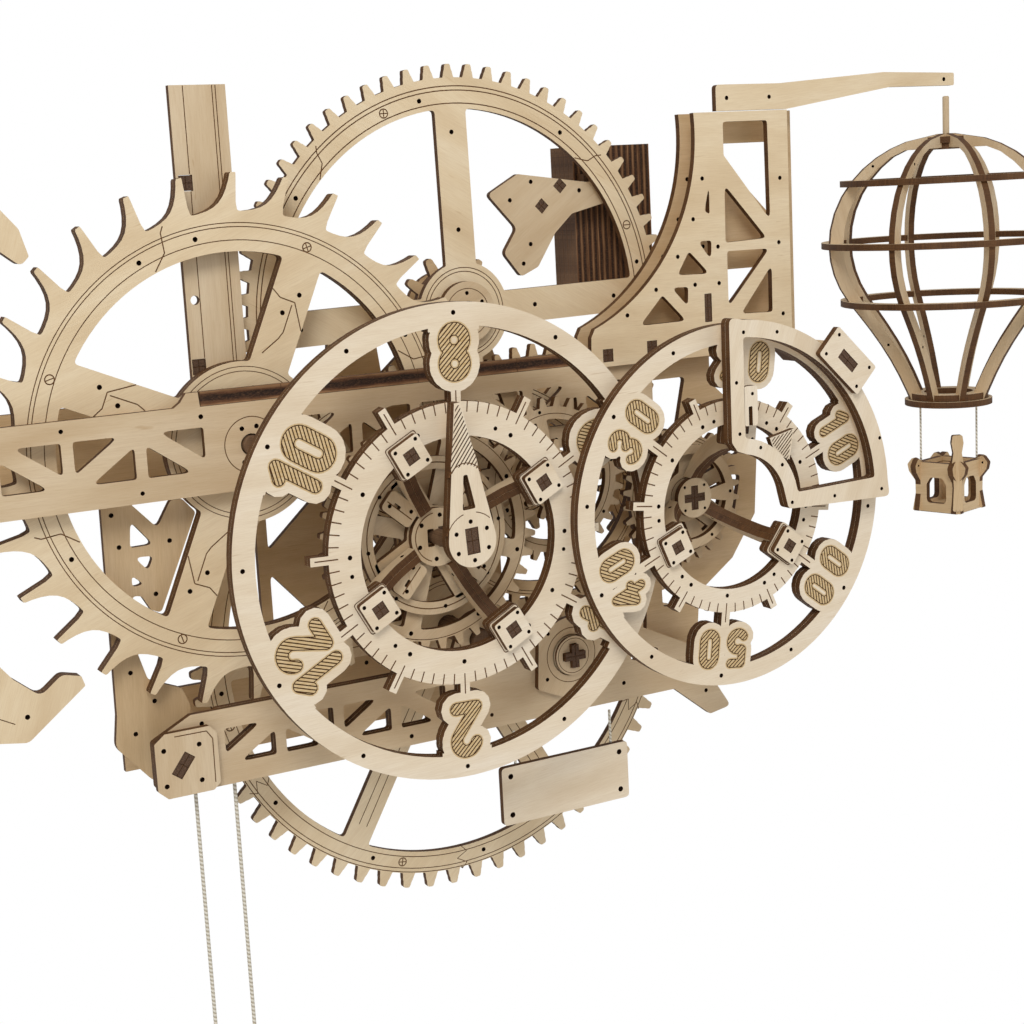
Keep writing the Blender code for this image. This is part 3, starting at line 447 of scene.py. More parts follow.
def ring_line(r, w=0.5, n=120, c=(0, 0)):
    h = n // 2 + 1; out = []
    for a0 in (0, 180):
        out.append((arc(r + w / 2, a0, a0 + 180, h, c) + arc(r - w / 2, a0 + 180, a0, h, c), G))
    return out


def arc_line(r, a0, a1, w=0.5, n=None, c=(0, 0)):
    n = n or max(4, int(abs(a1 - a0) / 4))
    return [(arc(r + w / 2, a0, a1, n, c) + arc(r - w / 2, a1, a0, n, c), G)]


def box(name, body, x, d, z, mat="birch", deg=0.0, ply="d", nodes=()):
    """A stack of plies: the ply argument, for the axis across which the layers lie (d, x or z), is not used."""
    cx, cz = (x[0] + x[1]) / 2, (z[0] + z[1]) / 2
    o = relief(name, [(rect(0, 0, x[1] - x[0], z[1] - z[0]), 0)], d[1] - d[0], front((cx, cz), d[0]) @ Matrix.Rotation(math.radians(deg), 4, "Z"), MATS[mat], 0.0, seed_of())
    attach(o, body)
    if nodes:
        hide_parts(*nodes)
    return o


def tenon(name, body, c, d, w=6.0, h=6.0, deg=0.0):
    """The end of a two-layer tongue in its slot: two plies sheets side by side."""
    a = rect(-w / 4 - 0.0, 0, w / 2 - 0.25, h - 0.3); b = rect(w / 4, 0, w / 2 - 0.25, h - 0.3)
    mm = front(c, d[0]) @ Matrix.Rotation(math.radians(deg), 4, "Z")
    mesh_o = relief(name, [(rect(0, 0, w - 0.3, h - 0.3), 0), (rect(0, 0, 0.28, h), G * 2), (rect(0, 0, w, 0.25), G * 2)], d[1] - d[0], mm, MATS["tenon"], 0.0, seed_of())
    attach(mesh_o, body)
    return mesh_o


# ================================================================ more makers
S = 0.012       # scorched face beside an engraving, hardly lower than the face


def flat(x, d, z_top, deg=0.0):
    """Matrix of a horizontal sheet: x to the right, y into the wall, depth downwards."""
    m = Matrix(((0.001, 0, 0, 0), (0, 0.001, 0, 0), (0, 0, -0.001, 0), (0, 0, 0, 1)))
    m.translation = at(x, d, z_top)
    return m @ Matrix.Rotation(math.radians(deg), 4, "Z")


def edge_on(centre, ang, d0=0.0, off=-3.0):
    """Matrix of a sheet standing on edge at an angle round a depth axis: x outwards, y into the wall."""
    a = math.radians(ang); rad = Vector((math.cos(a), 0, math.sin(a))); y = Vector((0, 1, 0)); n = rad.cross(y)
    m = Matrix((rad, y, n)).transposed().to_4x4()
    m = m @ Matrix.Scale(0.001, 4); m.translation = at(centre[0], d0, centre[1]) + n * off / 1000
    return m


def upright(x, d, z, deg, off=-1.5):
    """Matrix of a sheet standing upright at an angle round a vertical axis: x outwards, y up."""
    a = math.radians(deg); rad = Vector((math.cos(a), math.sin(a), 0)); up_ = Vector((0, 0, 1)); n = rad.cross(up_)
    m = Matrix((rad, up_, n)).transposed().to_4x4()
    m = m @ Matrix.Scale(0.001, 4); m.translation = at(x, d, z) + n * off / 1000
    return m


def turned(name, body, prof, m, mats, n=48, nodes=(), along=True):
    """Turned piece from a closed profile (radius, height) in mm round the matrix's z axis."""
    vs, fs, at_v = [], [], []; k = len(prof)
    length = 0.0
    for i in range(n):
        a = 2 * math.pi * i / n
        for j, (r, h) in enumerate(prof):
            vs.append(m @ Vector((r * math.cos(a), r * math.sin(a), h)))
            at_v.append((h, r * math.cos(a) * 1.0, r * math.sin(a)) if along else (r * math.cos(a), r * math.sin(a), h))
    for i in range(n):
        i2 = (i + 1) % n
        for j in range(k):
            j2 = (j + 1) % k
            a, b, c, d = i * k + j, i * k + j2, i2 * k + j2, i2 * k + j
            if prof[j][0] < 1e-6 and prof[j2][0] < 1e-6:
                continue
            fs.append((a, b, c, d))
    me = bpy.data.meshes.new(name); me.from_pydata(vs, [], fs)
    for x in mats:
        me.materials.append(x)
    w = me.attributes.new("wood", "FLOAT_VECTOR", "POINT"); w.data.foreach_set("vector", np.array(at_v, np.float32).ravel())
    bm = bmesh.new(); bm.from_mesh(me); bmesh.ops.remove_doubles(bm, verts=bm.verts, dist=1e-7)
    bmesh.ops.dissolve_degenerate(bm, dist=1e-8, edges=bm.edges); bmesh.ops.recalc_face_normals(bm, faces=bm.faces)
    for f in bm.faces:
        f.smooth = True
    for e in bm.edges:
        if len(e.link_faces) == 2 and e.calc_face_angle(0) > 0.6:
            e.smooth = False
    bm.to_mesh(me); bm.free()
    o = bpy.data.objects.new(name, me); scene.collection.objects.link(o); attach(o, body)
    if nodes:
        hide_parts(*nodes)
    return o


def rod(name, body, c, d, r, mats=None, n=32, nodes=(), chamfer=0.4):
    L = d[1] - d[0]
    m = Matrix(((0.001, 0, 0, 0), (0, 0, 0.001, 0), (0, -0.001, 0, 0), (0, 0, 0, 1))); m.translation = at(c[0], d[0], c[1])
    prof = [(0, 0), (r - chamfer, 0), (r, chamfer), (r, L - chamfer), (r - chamfer, L), (0, L)]
    return turned(name, body, prof, m, mats or [FACE], n, nodes)


def tube(name, body, pts, r, mats, n=10, nodes=(), twist=None):
    """A cord: pts in mm (x, depth, height); the wood attribute holds length along, angle round and radius."""
    P = [at(*p) for p in pts]; vs, fs, av = [], [], []; run = 0.0
    t0 = (P[1] - P[0]).normalized(); ref = Vector((0, 1, 0)) if abs(t0.y) < 0.9 else Vector((1, 0, 0)); u = t0.cross(ref).normalized()
    for i, p in enumerate(P):
        t = (P[min(i + 1, len(P) - 1)] - P[max(i - 1, 0)]).normalized()
        u = (u - t * u.dot(t)).normalized(); v = t.cross(u)
        if i:
            run += (p - P[i - 1]).length * 1000
        for k in range(n):
            a = 2 * math.pi * k / n
            rr = r * (1 + (0.07 * math.cos(3 * (a + run * 0.9)) if twist else 0))
            vs.append(p + (u * math.cos(a) + v * math.sin(a)) * rr / 1000); av.append((run, k / n, rr))
    for i in range(len(P) - 1):
        for k in range(n):
            k2 = (k + 1) % n
            fs.append((i * n + k, i * n + k2, (i + 1) * n + k2, (i + 1) * n + k))
    for e, rev in ((0, True), (len(P) - 1, False)):
        c = len(vs); vs.append(P[e]); av.append((0 if e == 0 else run, 0.5, 0))
        for k in range(n):
            a, b = e * n + k, e * n + (k + 1) % n
            fs.append((c, b, a) if rev else (c, a, b))
    me = bpy.data.meshes.new(name); me.from_pydata(vs, [], fs); me.materials.append(mats)
    w = me.attributes.new("wood", "FLOAT_VECTOR", "POINT"); w.data.foreach_set("vector", np.array(av, np.float32).ravel())
    bm = bmesh.new(); bm.from_mesh(me); bmesh.ops.recalc_face_normals(bm, faces=bm.faces)
    for f in bm.faces:
        f.smooth = True
    bm.to_mesh(me); bm.free()
    o = bpy.data.objects.new(name, me); scene.collection.objects.link(o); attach(o, body)
    if nodes:
        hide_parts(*nodes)
    return o, [tuple(p) for p in P]


def cord_material():
    N = Nodes("cotton_cord"); p = N.attr(); sep = N.n("ShaderNodeSeparateXYZ"); N.link(p, sep.inputs[0])
    ply = N.math("SINE", N.math("ADD", N.math("MULTIPLY", sep.outputs[0], 3.4), N.math("MULTIPLY", sep.outputs[1], 6.2832)))
    c = N.ramp(N.math("MULTIPLY_ADD", ply, 0.5), [(0.0, (0.50, 0.44, 0.33)), (0.55, (0.80, 0.75, 0.64)), (1.0, (0.88, 0.84, 0.74))])
    N.link(c, N.b.inputs["Base Color"]); N.b.inputs["Roughness"].default_value = 0.85
    N.bump(ply, 0.0002, 0.7)
    return N.m


def end_material():
    """Sawn end grain of a dark two-layer tongue."""
    N = Nodes("tongue_end"); p = N.attr()
    c = N.ramp(N.noise(N.scaled(p, (1.2, 5.0, 1.0)), 1.0, 3.0), [(0.3, (0.028, 0.012, 0.006)), (0.5, (0.09, 0.045, 0.022)), (0.75, (0.22, 0.12, 0.065))])
    N.link(c, N.b.inputs["Base Color"]); N.b.inputs["Roughness"].default_value = 0.75
    N.bump(N.noise(N.scaled(p, (2.0, 5.0, 1.0)), 1.0, 2.0), 0.00012, 0.7)
    return N.m


def scorch_material(name, lo, hi):
    N = Nodes(name); p = N.attr()
    c = N.ramp(N.noise(N.scaled(p, (0.25, 1.4, 0.3)), 1.0, 3.0), [(0.3, lo), (0.7, hi)])
    N.link(c, N.b.inputs["Base Color"]); N.b.inputs["Roughness"].default_value = 0.62
    return N.m


CORD = cord_material()
END = end_material()
SCORCH = scorch_material("scorched_birch", (0.60, 0.40, 0.17), (0.76, 0.58, 0.34))
for k_ in MATS:
    MATS[k_] += [SCORCH, PIN, HATCH]
MATS["tenon"][0] = END


def dark_end(name, body, c, d, w=5.4, h=5.4, deg=0.0, cross=True, mtx=None):
    """A tongue's end in its slot: sheets side by side with a fine joint between them."""
    items = [(rect(0, 0, w, h), 0), (rect(0, 0, 0.3, h), 0.5)]
    if cross:
        items.append((rect(0, 0, w, 0.3), 0.5))
    m = mtx or front(c, d[0]) @ Matrix.Rotation(math.radians(deg), 4, "Z")
    o = relief(name, items, d[1] - d[0], m, MATS["tenon"], 0.0, seed_of())
    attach(o, body)
    return o


def lines(segs, w=0.5):
    out = []
    for s in segs:
        out += path_line(s, w)
    return out


def screw(c, r=1.9, deg=30, cross=True):
    """An engraved screw head: ring and cross."""
    out = ring_line(r, 0.5, 18, c)
    for a in ((deg, deg + 90) if cross else (deg,)):
        out.append((bar(pol(r, a, c), pol(r, a + 180, c), 0.45), G))
    return out


# ================================================================ numerals
def glyph(ch, a, b):
    if ch == "0":
        n = 9
        return [(arc(a, 0, 180, n, (0, b - a)) + arc(a, 180, 360, n, (0, -(b - a))), True)]
    if ch == "8":
        r = b - 4.8 if b > 8 else 0.5 * b
        return [(arc(r, 0, 345, 16, (0, b - r)), True), (arc(r, 0, 345, 16, (0, -(b - r))), True)]
    if ch == "1":
        return [([(-0.75 * a, 0.62 * b), (0.1 * a, b), (0.1 * a, -b)], False)]
    if ch == "2":
        return [(arc(a, 165, -38, 12, (0, b - a)) + [(-a, -b), (a, -b)], False)]
    if ch == "3":
        r = b / 2
        return [(arc(r, 150, -85, 12, (0, b - r)), False), (arc(r, 85, -150, 12, (0, -(b - r))), False)]
    if ch == "4":
        return [([(0.45 * a, -b), (0.45 * a, b), (-1.1 * a, -0.3 * b), (1.15 * a, -0.3 * b)], False)]
    if ch == "5":
        r = 0.56 * b
        return [([(a, b), (-0.8 * a, b), (-0.85 * a, 0.1 * b)] + arc(r, 115, -145, 12, (-0.05 * a, -(b - r))), False)]
    if ch == "6":
        r = 0.58 * b
        return [(arc(r, 0, 345, 16, (0, -(b - r))), True), (arc(1.35 * b, 180, 118, 8, (1.35 * b - r, -(b - r))), False)]
    return []


def numeral(text, c, ang, a, b, h, xs, margin, key):
    """Paint for a numeral and the tab behind it. ang is the direction that is up for the reader."""
    up_ = (math.cos(math.radians(ang)), math.sin(math.radians(ang))); rt = (up_[1], -up_[0])
    P = lambda p: (c[0] + p[0] * rt[0] + p[1] * up_[0], c[1] + p[0] * rt[1] + p[1] * up_[1])
    tab, rest = [], []
    for i, (ch, x0) in enumerate(zip(text, xs)):
        pens = [([(p[0] + x0, p[1]) for p in pts], cl) for pts, cl in glyph(ch, a, b)]
        e = 0.20
        for r, lv, grp in ((h + e + 0.55, S, None), (h + e, H, None), (h - e, S, f"{key}{i}")):
            for pts, cl in pens:
                for s in stroke([P(p) for p in pts], r, cl):
                    rest.append((s, lv, grp) if grp else (s, lv))
        for pts, cl in pens:
            for s in stroke([P(p) for p in pts], h + margin, cl):
                tab.append((s, 0))
        W_, H_ = a + h + 1.0, b + h + 0.5
        k = -(W_ + H_)
        while k < W_ + H_:
            # lines y = x + k in the numeral's own frame
            q = []
            for x in (-W_, W_):
                q.append((x, x + k))
            y0, y1 = max(q[0][1], -H_), min(q[1][1], H_)
            if y1 > y0:
                p0, p1 = (y0 - k + x0, y0), (y1 - k + x0, y1)
                rest.append((bar(P(p0), P(p1), 0.5), H, None, f"{key}{i}"))
            k += 2.05
    return tab, rest


def dial_paint(R, ring, scale, inner, ph, texts, rn, glyphs, tabw, ntick, tick, cap_r, cap_a, caps, pin_r, pin_off, pin_in):
    a, b, h, dx, margin = glyphs
    P = [(circle(R, 144), 0), (circle(ring, 120), None), (circle(scale, 96), 0)]
    tabs, eng = [], []
    for k, t in enumerate(texts):
        ang = ph + 60 * k
        c = pol(rn, ang)
        xs = (0,) if len(t) == 1 else ((-dx, dx) if t[0] != "1" else (-dx * 0.82, dx * 0.92))
        tb, en = numeral(t, c, ang, a, b, h, xs, margin, f"n{k}_")
        tabs += tb; eng += en
        # the tab widens into the ring, and a short neck joins it to the scale
        top = pol(rn + b * 0.4, ang)
        wid = (a + h + margin) * 2 + (0 if len(t) == 1 else 2 * dx * 0.8)
        tabs.append((bar(pol(rn + b * 0.9, ang), pol(ring + 1.5, ang), wid), 0))
        tabs.append((bar(pol(scale - 2, ang), pol(rn - b, ang), 4.4), 0))
        mid = ang + 30
        tl = 7.8 if R > 90 else 5.5
        tabs.append((bar(pol(scale - 2, mid), pol(scale + tl, mid), 3.6), 0))
        eng.append((bar(pol(scale - 4.2, mid), pol(scale + tl - 1.8, mid), 0.55), G))
        eng.append((bar(pol(scale - 4.2, ang), pol(scale + 4.5, ang), 0.55), G))
    P += tabs
    P.append((circle(inner, 84), None))
    for k in range(caps):
        ang = cap_a + 360.0 / caps * k
        c = pol(cap_r, ang)
        P.append((rounded(rect(c[0], c[1], 15.9, 15.9, ang), 1.8), 0 if R > 90 else 0))
        if R > 90:
            P += [(rounded(rect(c[0], c[1], 15.7, 15.7, ang), 1.5), G), (rounded(rect(c[0], c[1], 14.9, 14.9, ang), 1.3), 0)]
        else:
            P += [(rounded(rect(c[0], c[1], 14.5, 14.5, ang), 1.5), G), (rounded(rect(c[0], c[1], 13.7, 13.7, ang), 1.3), 0)]
    for k in range(ntick):
        ang = ph + 360.0 / ntick * k
        if abs(((ang - ph + 15) % 30) - 15) > 1.0:
            P.append((bar(pol(scale - tick, ang), pol(scale + 0.2, ang), 0.55), G))
    P += eng
    for k in range(6):
        P.append(pin(pol(pin_r, ph + pin_off + 60 * k)))
        P.append(pin(pol(pin_in, ph + 30 + 60 * k + (9 if k % 2 else -9)), 0.9))
    return P


HOUR_TEXT = ["10", "8", "6", "4", "2", "12"]
PH_H, PH_M = 88.37, 82.6


# ================================================================ dials
HG = (4.68, 9.4, 2.57, 7.2, 4.35)     # half width, half height, pen radius, digit offset, margin
MG = (3.25, 6.95, 1.85, 7.6, 3.4)
hp = dial_paint(99.3, 89.8, 59.0, 44.9, PH_H, ["8", "10", "12", "2", "4", "6"], 79.1, HG, 10, 72, 4.4, 44.6, 28.4, 4, 95.0, 0, 49.7)
mp = dial_paint(81.0, 72.6, 47.8, 37.2, PH_M, ["20", "30", "40", "50", "00", "10"], 64.3, MG, 8, 60, 4.0, 35.2, 82.6, 3, 76.55, 0, 40.0)
hp = [i for i in hp if not (i[1] is None and len(i[0]) == 14)]
mp = [i for i in mp if not (i[1] is None and len(i[0]) == 14)]
for k in range(12):
    hp.append(pin(pol(95.0, PH_H + 30 * k)))
    mp.append(pin(pol(76.55, PH_M + 30 * k), 0.95))
    if k % 3 != 1 and k:
        hp.append(pin(pol(49.7, PH_H + 30 * k)))
    if k % 4:
        mp.append(pin(pol(40.2, PH_M + 30 * k), 0.95))
put("hour_dial_sheet", "hour_set", hp, (0.0, 2.95), HOUR, mat="pale", grain=2, nodes=("hour_dial",))
put("hour_dial_back_sheet", "hour_set", [i for i in hp if i[1] is None or i[1] == 0], (3.05, 6.0), HOUR, mat="pale", grain=5)
put("minute_dial_sheet", "minute_set", mp, (-6.6, -3.65), MINUTE, mat="pale", grain=4, nodes=("minute_dial",))
put("minute_dial_back_sheet", "minute_set", [i for i in mp if i[1] is None or i[1] == 0], (-3.55, -0.6), MINUTE, mat="pale", grain=7)


def cap(name, body, c, ang, d, w=14.4, h=14.4, tw=5.8, th=5.8, cross=True, pin_xy=(5.45, 5.45)):
    a = math.radians(ang); m = front(c, d[0]) @ Matrix.Rotation(a, 4, "Z")
    P = [(rounded(rect(0, 0, w, h), 1.3), 0), (rect(0, 0, tw, th), None)]
    P += [pin((sx * pin_xy[0], sy * pin_xy[1]), 0.85, 12) for sx in (-1, 1) for sy in (-1, 1)]
    put(name, body, P, d, mat="pale", grain=-ang + 8, mtx=m)
    dark_end(name + "_tongue", body, c, (d[0] + 0.35, d[1]), tw - 0.3, th - 0.3, cross=cross, mtx=front(c, d[0] + 0.35) @ Matrix.Rotation(a, 4, "Z"))


for k in range(4):
    cap(f"hour_cap_{k + 1}", "hour_set", pol(44.6, 28.4 + 90 * k), 28.4 + 90 * k, (-3.0, -0.1), 13.9, 13.9, 5.8, 5.8, True, (5.2, 5.2))
for k in range(3):
    c = pol(35.2, 82.6 + 120 * k, MINUTE)
    cap(f"minute_cap_{k + 1}", "minute_set", c, 82.6 + 120 * k, (-9.6, -6.7), 13.2, 13.2, 5.2, 5.2, True, (4.9, 4.9))

HOUR_ARM = [(50.5, 6.3), (50.0, 8.6), (44.0, 15.0), (34.0, 20.2), (24.0, 22.8), (12.5, 23.7), (12.5, 18.5), (24.0, 17.0), (33.0, 13.6), (40.0, 8.6), (41.5, 6.3)]
MIN_ARM = [(36.6, -6.4), (36.6, -0.6), (33.4, -0.4), (31.0, 7.0), (26.5, 15.5), (19.0, 24.0), (9.0, 30.1), (9.0, 24.0), (14.0, 20.0), (20.0, 12.0), (24.5, 2.0), (26.0, -6.4)]


def smooth(pts, keep=()):
    """A closed outline rounded by one step of corner cutting, except at the corners in keep."""
    out = []
    for i, p in enumerate(pts):
        a, b = pts[i - 1], pts[(i + 1) % len(pts)]
        if i in keep:
            out.append(p)
        else:
            for u in (0.28, 0.12):
                out.append((p[0] + (a[0] - p[0]) * u, p[1] + (a[1] - p[1]) * u))
            out = out[:-1] + [((p[0] * 0.9 + a[0] * 0.05 + b[0] * 0.05), (p[1] * 0.9 + a[1] * 0.05 + b[1] * 0.05))]
            out.append((p[0] + (b[0] - p[0]) * 0.28, p[1] + (b[1] - p[1]) * 0.28))
    return out


for k in range(4):
    for j, off in enumerate((-3.0, 0.06)):
        put(f"hour_arm_{k + 1}_{'ab'[j]}", "hour_set", [(smooth(HOUR_ARM, (0, 5, 6, 10)), 0), pin((45.5, 8.6), 0.9), pin((18, 20.8), 0.9)], (0, 2.94), grain=-20,
            nodes=(f"hour_arm_{k + 1}",) if j == 0 else (), mtx=edge_on(HOUR, 28.4 + 90 * k, 0.0, off))
for k in range(3):
    for j, off in enumerate((-3.0, 0.06)):
        put(f"minute_arm_{k + 1}_{'ab'[j]}", "minute_set", [(smooth(MIN_ARM, (0, 1, 2, 6, 7, 11)), 0), pin((30, 2.6), 0.9), pin((14, 23.6), 0.9)], (0, 2.94), grain=-50,
            nodes=(f"minute_arm_{k + 1}",) if j == 0 else (), mtx=edge_on(MINUTE, 82.6 + 120 * k, 0.0, off))


# ================================================================ hour hub
def fork_plate(name, body, centre, ang, r0, r1, d, w=11.0):
    """Small plate along an arm with two pins, a joint line and a slot."""
    m = front(centre, d[0]) @ Matrix.Rotation(math.radians(ang), 4, "Z")
    P = [(rounded([(r0, -w / 2), (r1, -w / 2), (r1, w / 2), (r0, w / 2)], 2.2), 0), pin((r0 + 3.2, -w / 2 + 3), 0.9), pin((r1 - 3.0, w / 2 - 3), 0.9), (rounded(rect((r0 + r1) / 2 + 2, 0, 3.4, 1.5), 0.5), None)]
    P += path_line([(r0 + 1, 0.8), (r1 - 1, 0.8)])
    put(name, body, P, d, grain=ang, mtx=m)


spider = []
for k in range(4):
    a = 28.4 + 90 * k
    e = math.degrees(math.asin(6.0 / 30)); h = math.degrees(math.asin(6.0 / 13))
    spider += arc(30.0, a - e, a + e, 4) + arc(13.0, a + h, a + 90 - h, 5)
put("hour_spider_sheet", "hour_set", [(rounded(spider, 1.5), 0), (circle(5.0, 24), None)] + ring_line(10.8), (24.0, 27.0), HOUR, grain=10, nodes=("hour_spider",))
for k in range(4):
    fork_plate(f"hour_fork_{k + 1}", "hour_set", HOUR, 28.4 + 90 * k + 21, 13.6, 29.5, (21.0, 23.9), 9.6)
put("hour_ring_plate", "hour_set", [(circle(34.0, 90), 0), (circle(28.6, 80), None)] + ring_line(31.4) + [pin(pol(31.2, 6 + 45 * k), 0.9) for k in range(8)], (24.0, 26.9), HOUR, grain=60)
P = [(circle(12.5, 48), 0), (rounded(rect(-3.4, 0, 3.0, 7.6), 0.5), None), (rect(2.6, 0, 4.6, 8.8), None)] + arc_line(10.6, 100, 250, 0.45) + [pin(pol(9.4, 60 * k + 22)) for k in range(6)]
put("hub_washer", "frame", P, (20.6, 23.4), HOUR, grain=80)
dark_end("hub_washer_tongue", "frame", (2.6, 0.0), (20.9, 23.5), 4.4, 8.6)
r_hw = M_HW * 18
P = [(gear(36, M_HW, 3.0), 0)] + [(sector(14.0, r_hw - 8.0, 28.4 - 45 + 90 * k, 28.4 + 45 + 90 * k, 8.0, 3.0), None) for k in range(4)]
P += [(circle(5.0, 24), None)] + ring_line(r_hw - 3.6, 0.35, 96) + ring_line(11.5, 0.35, 40)
P += [pin(pol(r_hw - 6.0, 28.4 + 45 * k)) for k in range(8)]
put("hour_wheel_sheet", "hour_set", P, (27.3, 30.3), HOUR, grain=30, nodes=("hour_wheel",))

# ring plate that holds the arms together, behind the arms' feet
# ================================================================ hour pointer
tip, bc, br = (-3.0, 59.6), (0.6, 2.7), 10.9
ax = Vector((tip[0] - bc[0], tip[1] - bc[1])); L = ax.length; tilt = math.degrees(math.atan2(ax.y, ax.x)) - 90


def pt(x, y):
    return tuple(turn([(x, y)], tilt, bc)[0])


th = math.degrees(math.asin((br - 1.4) / L))
outl = [pt(-1.4, L), pt(1.4, L)] + [pt(br * math.cos(math.radians(a)), br * math.sin(math.radians(a))) for a in np.linspace(th * 0.9, -180 - th * 0.9, 25)]
P = [(outl, 0)]
mask = [pt(-0.9, L - 1.0), pt(0.9, L - 1.0), pt(6.1, 32.0)] + [pt(7.4 * math.cos(math.radians(a)), 24.3 + 7.4 * math.sin(math.radians(a))) for a in (35, 60, 90, 120, 145)] + [pt(-6.1, 32.0)]
P.append((mask, 0, "hp"))
k = -80.0
while k < 120:
    P.append((bar(pt(-14, k - 16.0), pt(14, k + 16.0), 0.5), H, None, "hp")); k += 2.15
P += [(arc_line(8.0, 30, 150, 0.4, 14, (0, 0))[0][0], G)][:0]
P.append(([pt(*p) for p in arc(8.2, 25, 155, 16, (0, 24.3)) + arc(7.8, 155, 25, 16, (0, 24.3))], G))
P.append((rounded([pt(-0.9, 27.5), pt(0.9, 27.5), pt(3.0, 13.2), pt(-3.0, 13.2)], 0.8), None))
for a0, a1 in ((42, 76), (104, 160)):
    P.append(([pt(*p) for p in arc(br + 1.2, a0, a1, 8) + arc(br + 0.8, a1, a0, 8)], G))
P += [pin(pt(*pol(8.1, a)), 0.95) for a in (90, 30, -30, -90, -150, 150)]
P.append(([pt(*p) for p in rect(0, 0, 6.0, 11.0)], None))
put("hour_pointer_sheet", "frame", P, (-10.0, -7.1), HOUR, mat="pale", grain=88, nodes=("hour_pointer",))
put("hour_pointer_back_sheet", "frame", [(outl, 0), ([pt(*p) for p in rect(0, 0, 6.0, 11.0)], None), (rounded([pt(-0.9, 27.5), pt(0.9, 27.5), pt(3.0, 13.2), pt(-3.0, 13.2)], 0.8), None)], (-7.0, -4.0), HOUR, grain=88)
dark_end("hour_pointer_tongue", "frame", bc, (-9.6, -4.2), 5.7, 10.7, mtx=front(bc, -9.6) @ Matrix.Rotation(math.radians(tilt), 4, "Z"))
rod("pointer_post_rod", "frame", HOUR, (-3.7, 38.0), 3.5, [TENON, EDGE, LINE], 28, ("pointer_post",))

# ================================================================ minute window
W = (130.4, -1.0)
wo = arc(83.0, 2.5, 87.5, 36) + [(-3.5, 84.5), (-3.8, 30.0), (-1.0, 26.0)] + arc(24.5, 80, 10, 14) + [(26, -3.0), (84.0, -4.5)]
wi = arc(75.5, 4, 87.2, 34) + [(3.5, 31.3)] + arc(31.4, 78, 12, 14) + [(31.4, 4.0)]
rr_o = [2.5] + [0] * 34 + [3, 3, 3, 0.8] + [0] * 14 + [2.5, 2.5]
rr_i = [3] + [0] * 32 + [3, 3] + [0] * 14 + [3]
px_ = lambda r, a: pol(r, a)
wpins = [(4.0, 77.5), (-0.5, 56.0), (0.5, 33.5), (11.5, 26.3), (23.0, 17.3), (28.0, -0.3), (52.0, -0.4), (79.3, -0.6), (78.6, 23.0), (22.0, 76.2)]
P = [(rounded(wo, rr_o), 0), (rounded(wi, rr_i), None)] + pins(wpins, 0.85)
put("minute_window_sheet", "frame", P, (-16.0, -13.05), W, mat="pale", grain=70, nodes=("minute_window",))
put("minute_window_back_sheet", "frame", [(rounded(wo, rr_o), 0), (rounded(wi, rr_i), None)] + pins(wpins, 0.85), (-12.95, -10.0), W, mat="pale", grain=70)
ac = pol(87.5, 46, W)
cc = pol(84.0, 46, W)
cap("window_cap", "frame", cc, 46, (-19.3, -16.1), 16.0, 29.0, 5.0, 11.0, True, (5.4, 11.6))
m = edge_on(W, 46, 0.0, -5.9)
put("window_arm_bar_a", "frame", [(rounded([(85.1, -16.0), (89.8, -16.0), (89.8, 34.7), (85.1, 34.7)], 0.4), 0)], (0, 11.8), grain=90, nodes=("window_arm",), mtx=m)
# triangular pointer with its root plate
tp = turn([(45.5, 0), (34.0, 7.5), (31.8, 2.4), (31.8, -2.4), (34.0, -7.5)], 45)
P = [(tp, 0), (turn([(45.0, 0), (33.9, 7.0), (33.0, 4.0), (33.0, -7.0)], 45), 0, "tri")]
k = -30
while k < 60:
    P.append((bar((20, 20 + k), (60, 60 + k), 0.5), H, None, "tri")); k += 1.8
put("minute_pointer_sheet", "frame", P, (-13.0, -10.0), W, mat="pale", grain=45, nodes=("minute_pointer",))
P = [(rounded([(3.4, 36.5), (3.4, 54.0), (10.5, 54.0), (10.5, 36.5)], 1.4), 0), (rounded([(5.6, 36.4), (7.6, 36.4), (7.6, 45.0), (5.6, 45.0)], 0.4), None), pin((7.8, 50.5), 0.8)]
put("window_inner_plate", "frame", P, (-16.0, -13.1), W, mat="pale", grain=85)

# ================================================================ minute hub
sp = []
for k in range(3):
    a = 82.6 + 120 * k; e = math.degrees(math.asin(5.5 / 20)); h = math.degrees(math.asin(5.5 / 12))
    sp += arc(20.0, a - e, a + e, 4) + arc(12.0, a + h, a + 120 - h, 7)
plus = [(-1.9, -5.6), (1.9, -5.6), (1.9, -1.9), (5.6, -1.9), (5.6, 1.9), (1.9, 1.9), (1.9, 5.6), (-1.9, 5.6), (-1.9, 1.9), (-5.6, 1.9), (-5.6, -1.9), (-1.9, -1.9)]
P = [(rounded(sp, 1.2), 0), (plus, None)] + ring_line(8.6, 0.3, 40)
put("minute_spider_sheet", "minute_set", P, (30.4, 33.4), MINUTE, grain=15, nodes=("minute_spider",))
a_ = math.degrees(math.asin(4.2 / 20.2))
P = [(circle(24.2, 72), 0), (circle(20.0, 64), None)] + [(rounded([pol(8.0, -12), pol(8.0, 12), pol(20.6, a_), pol(20.6, -a_)], 0.4), 0)] + pins([pol(22.1, t) for t in (0, 60, 120, 180, 240, 300)], 0.8)
put("minute_ring_plate", "minute_set", P, (26.9, 29.9), MINUTE, grain=40)
put("minute_hub_plate", "minute_set", [(circle(9.2, 44), 0), (plus, None)] + pins([pol(7.6, 45 + 90 * k) for k in range(4)], 0.7), (26.9 - 3.1, 26.8), MINUTE, grain=60)
put("minute_hub_front_tongue", "minute_set", [([(x * 0.94, y * 0.94) for x, y in plus], 0), (rect(0, 0, 11, 0.3), 0.5), (rect(0, 0, 0.3, 11), 0.5)], (24.2, 30.2), MINUTE, "tenon")
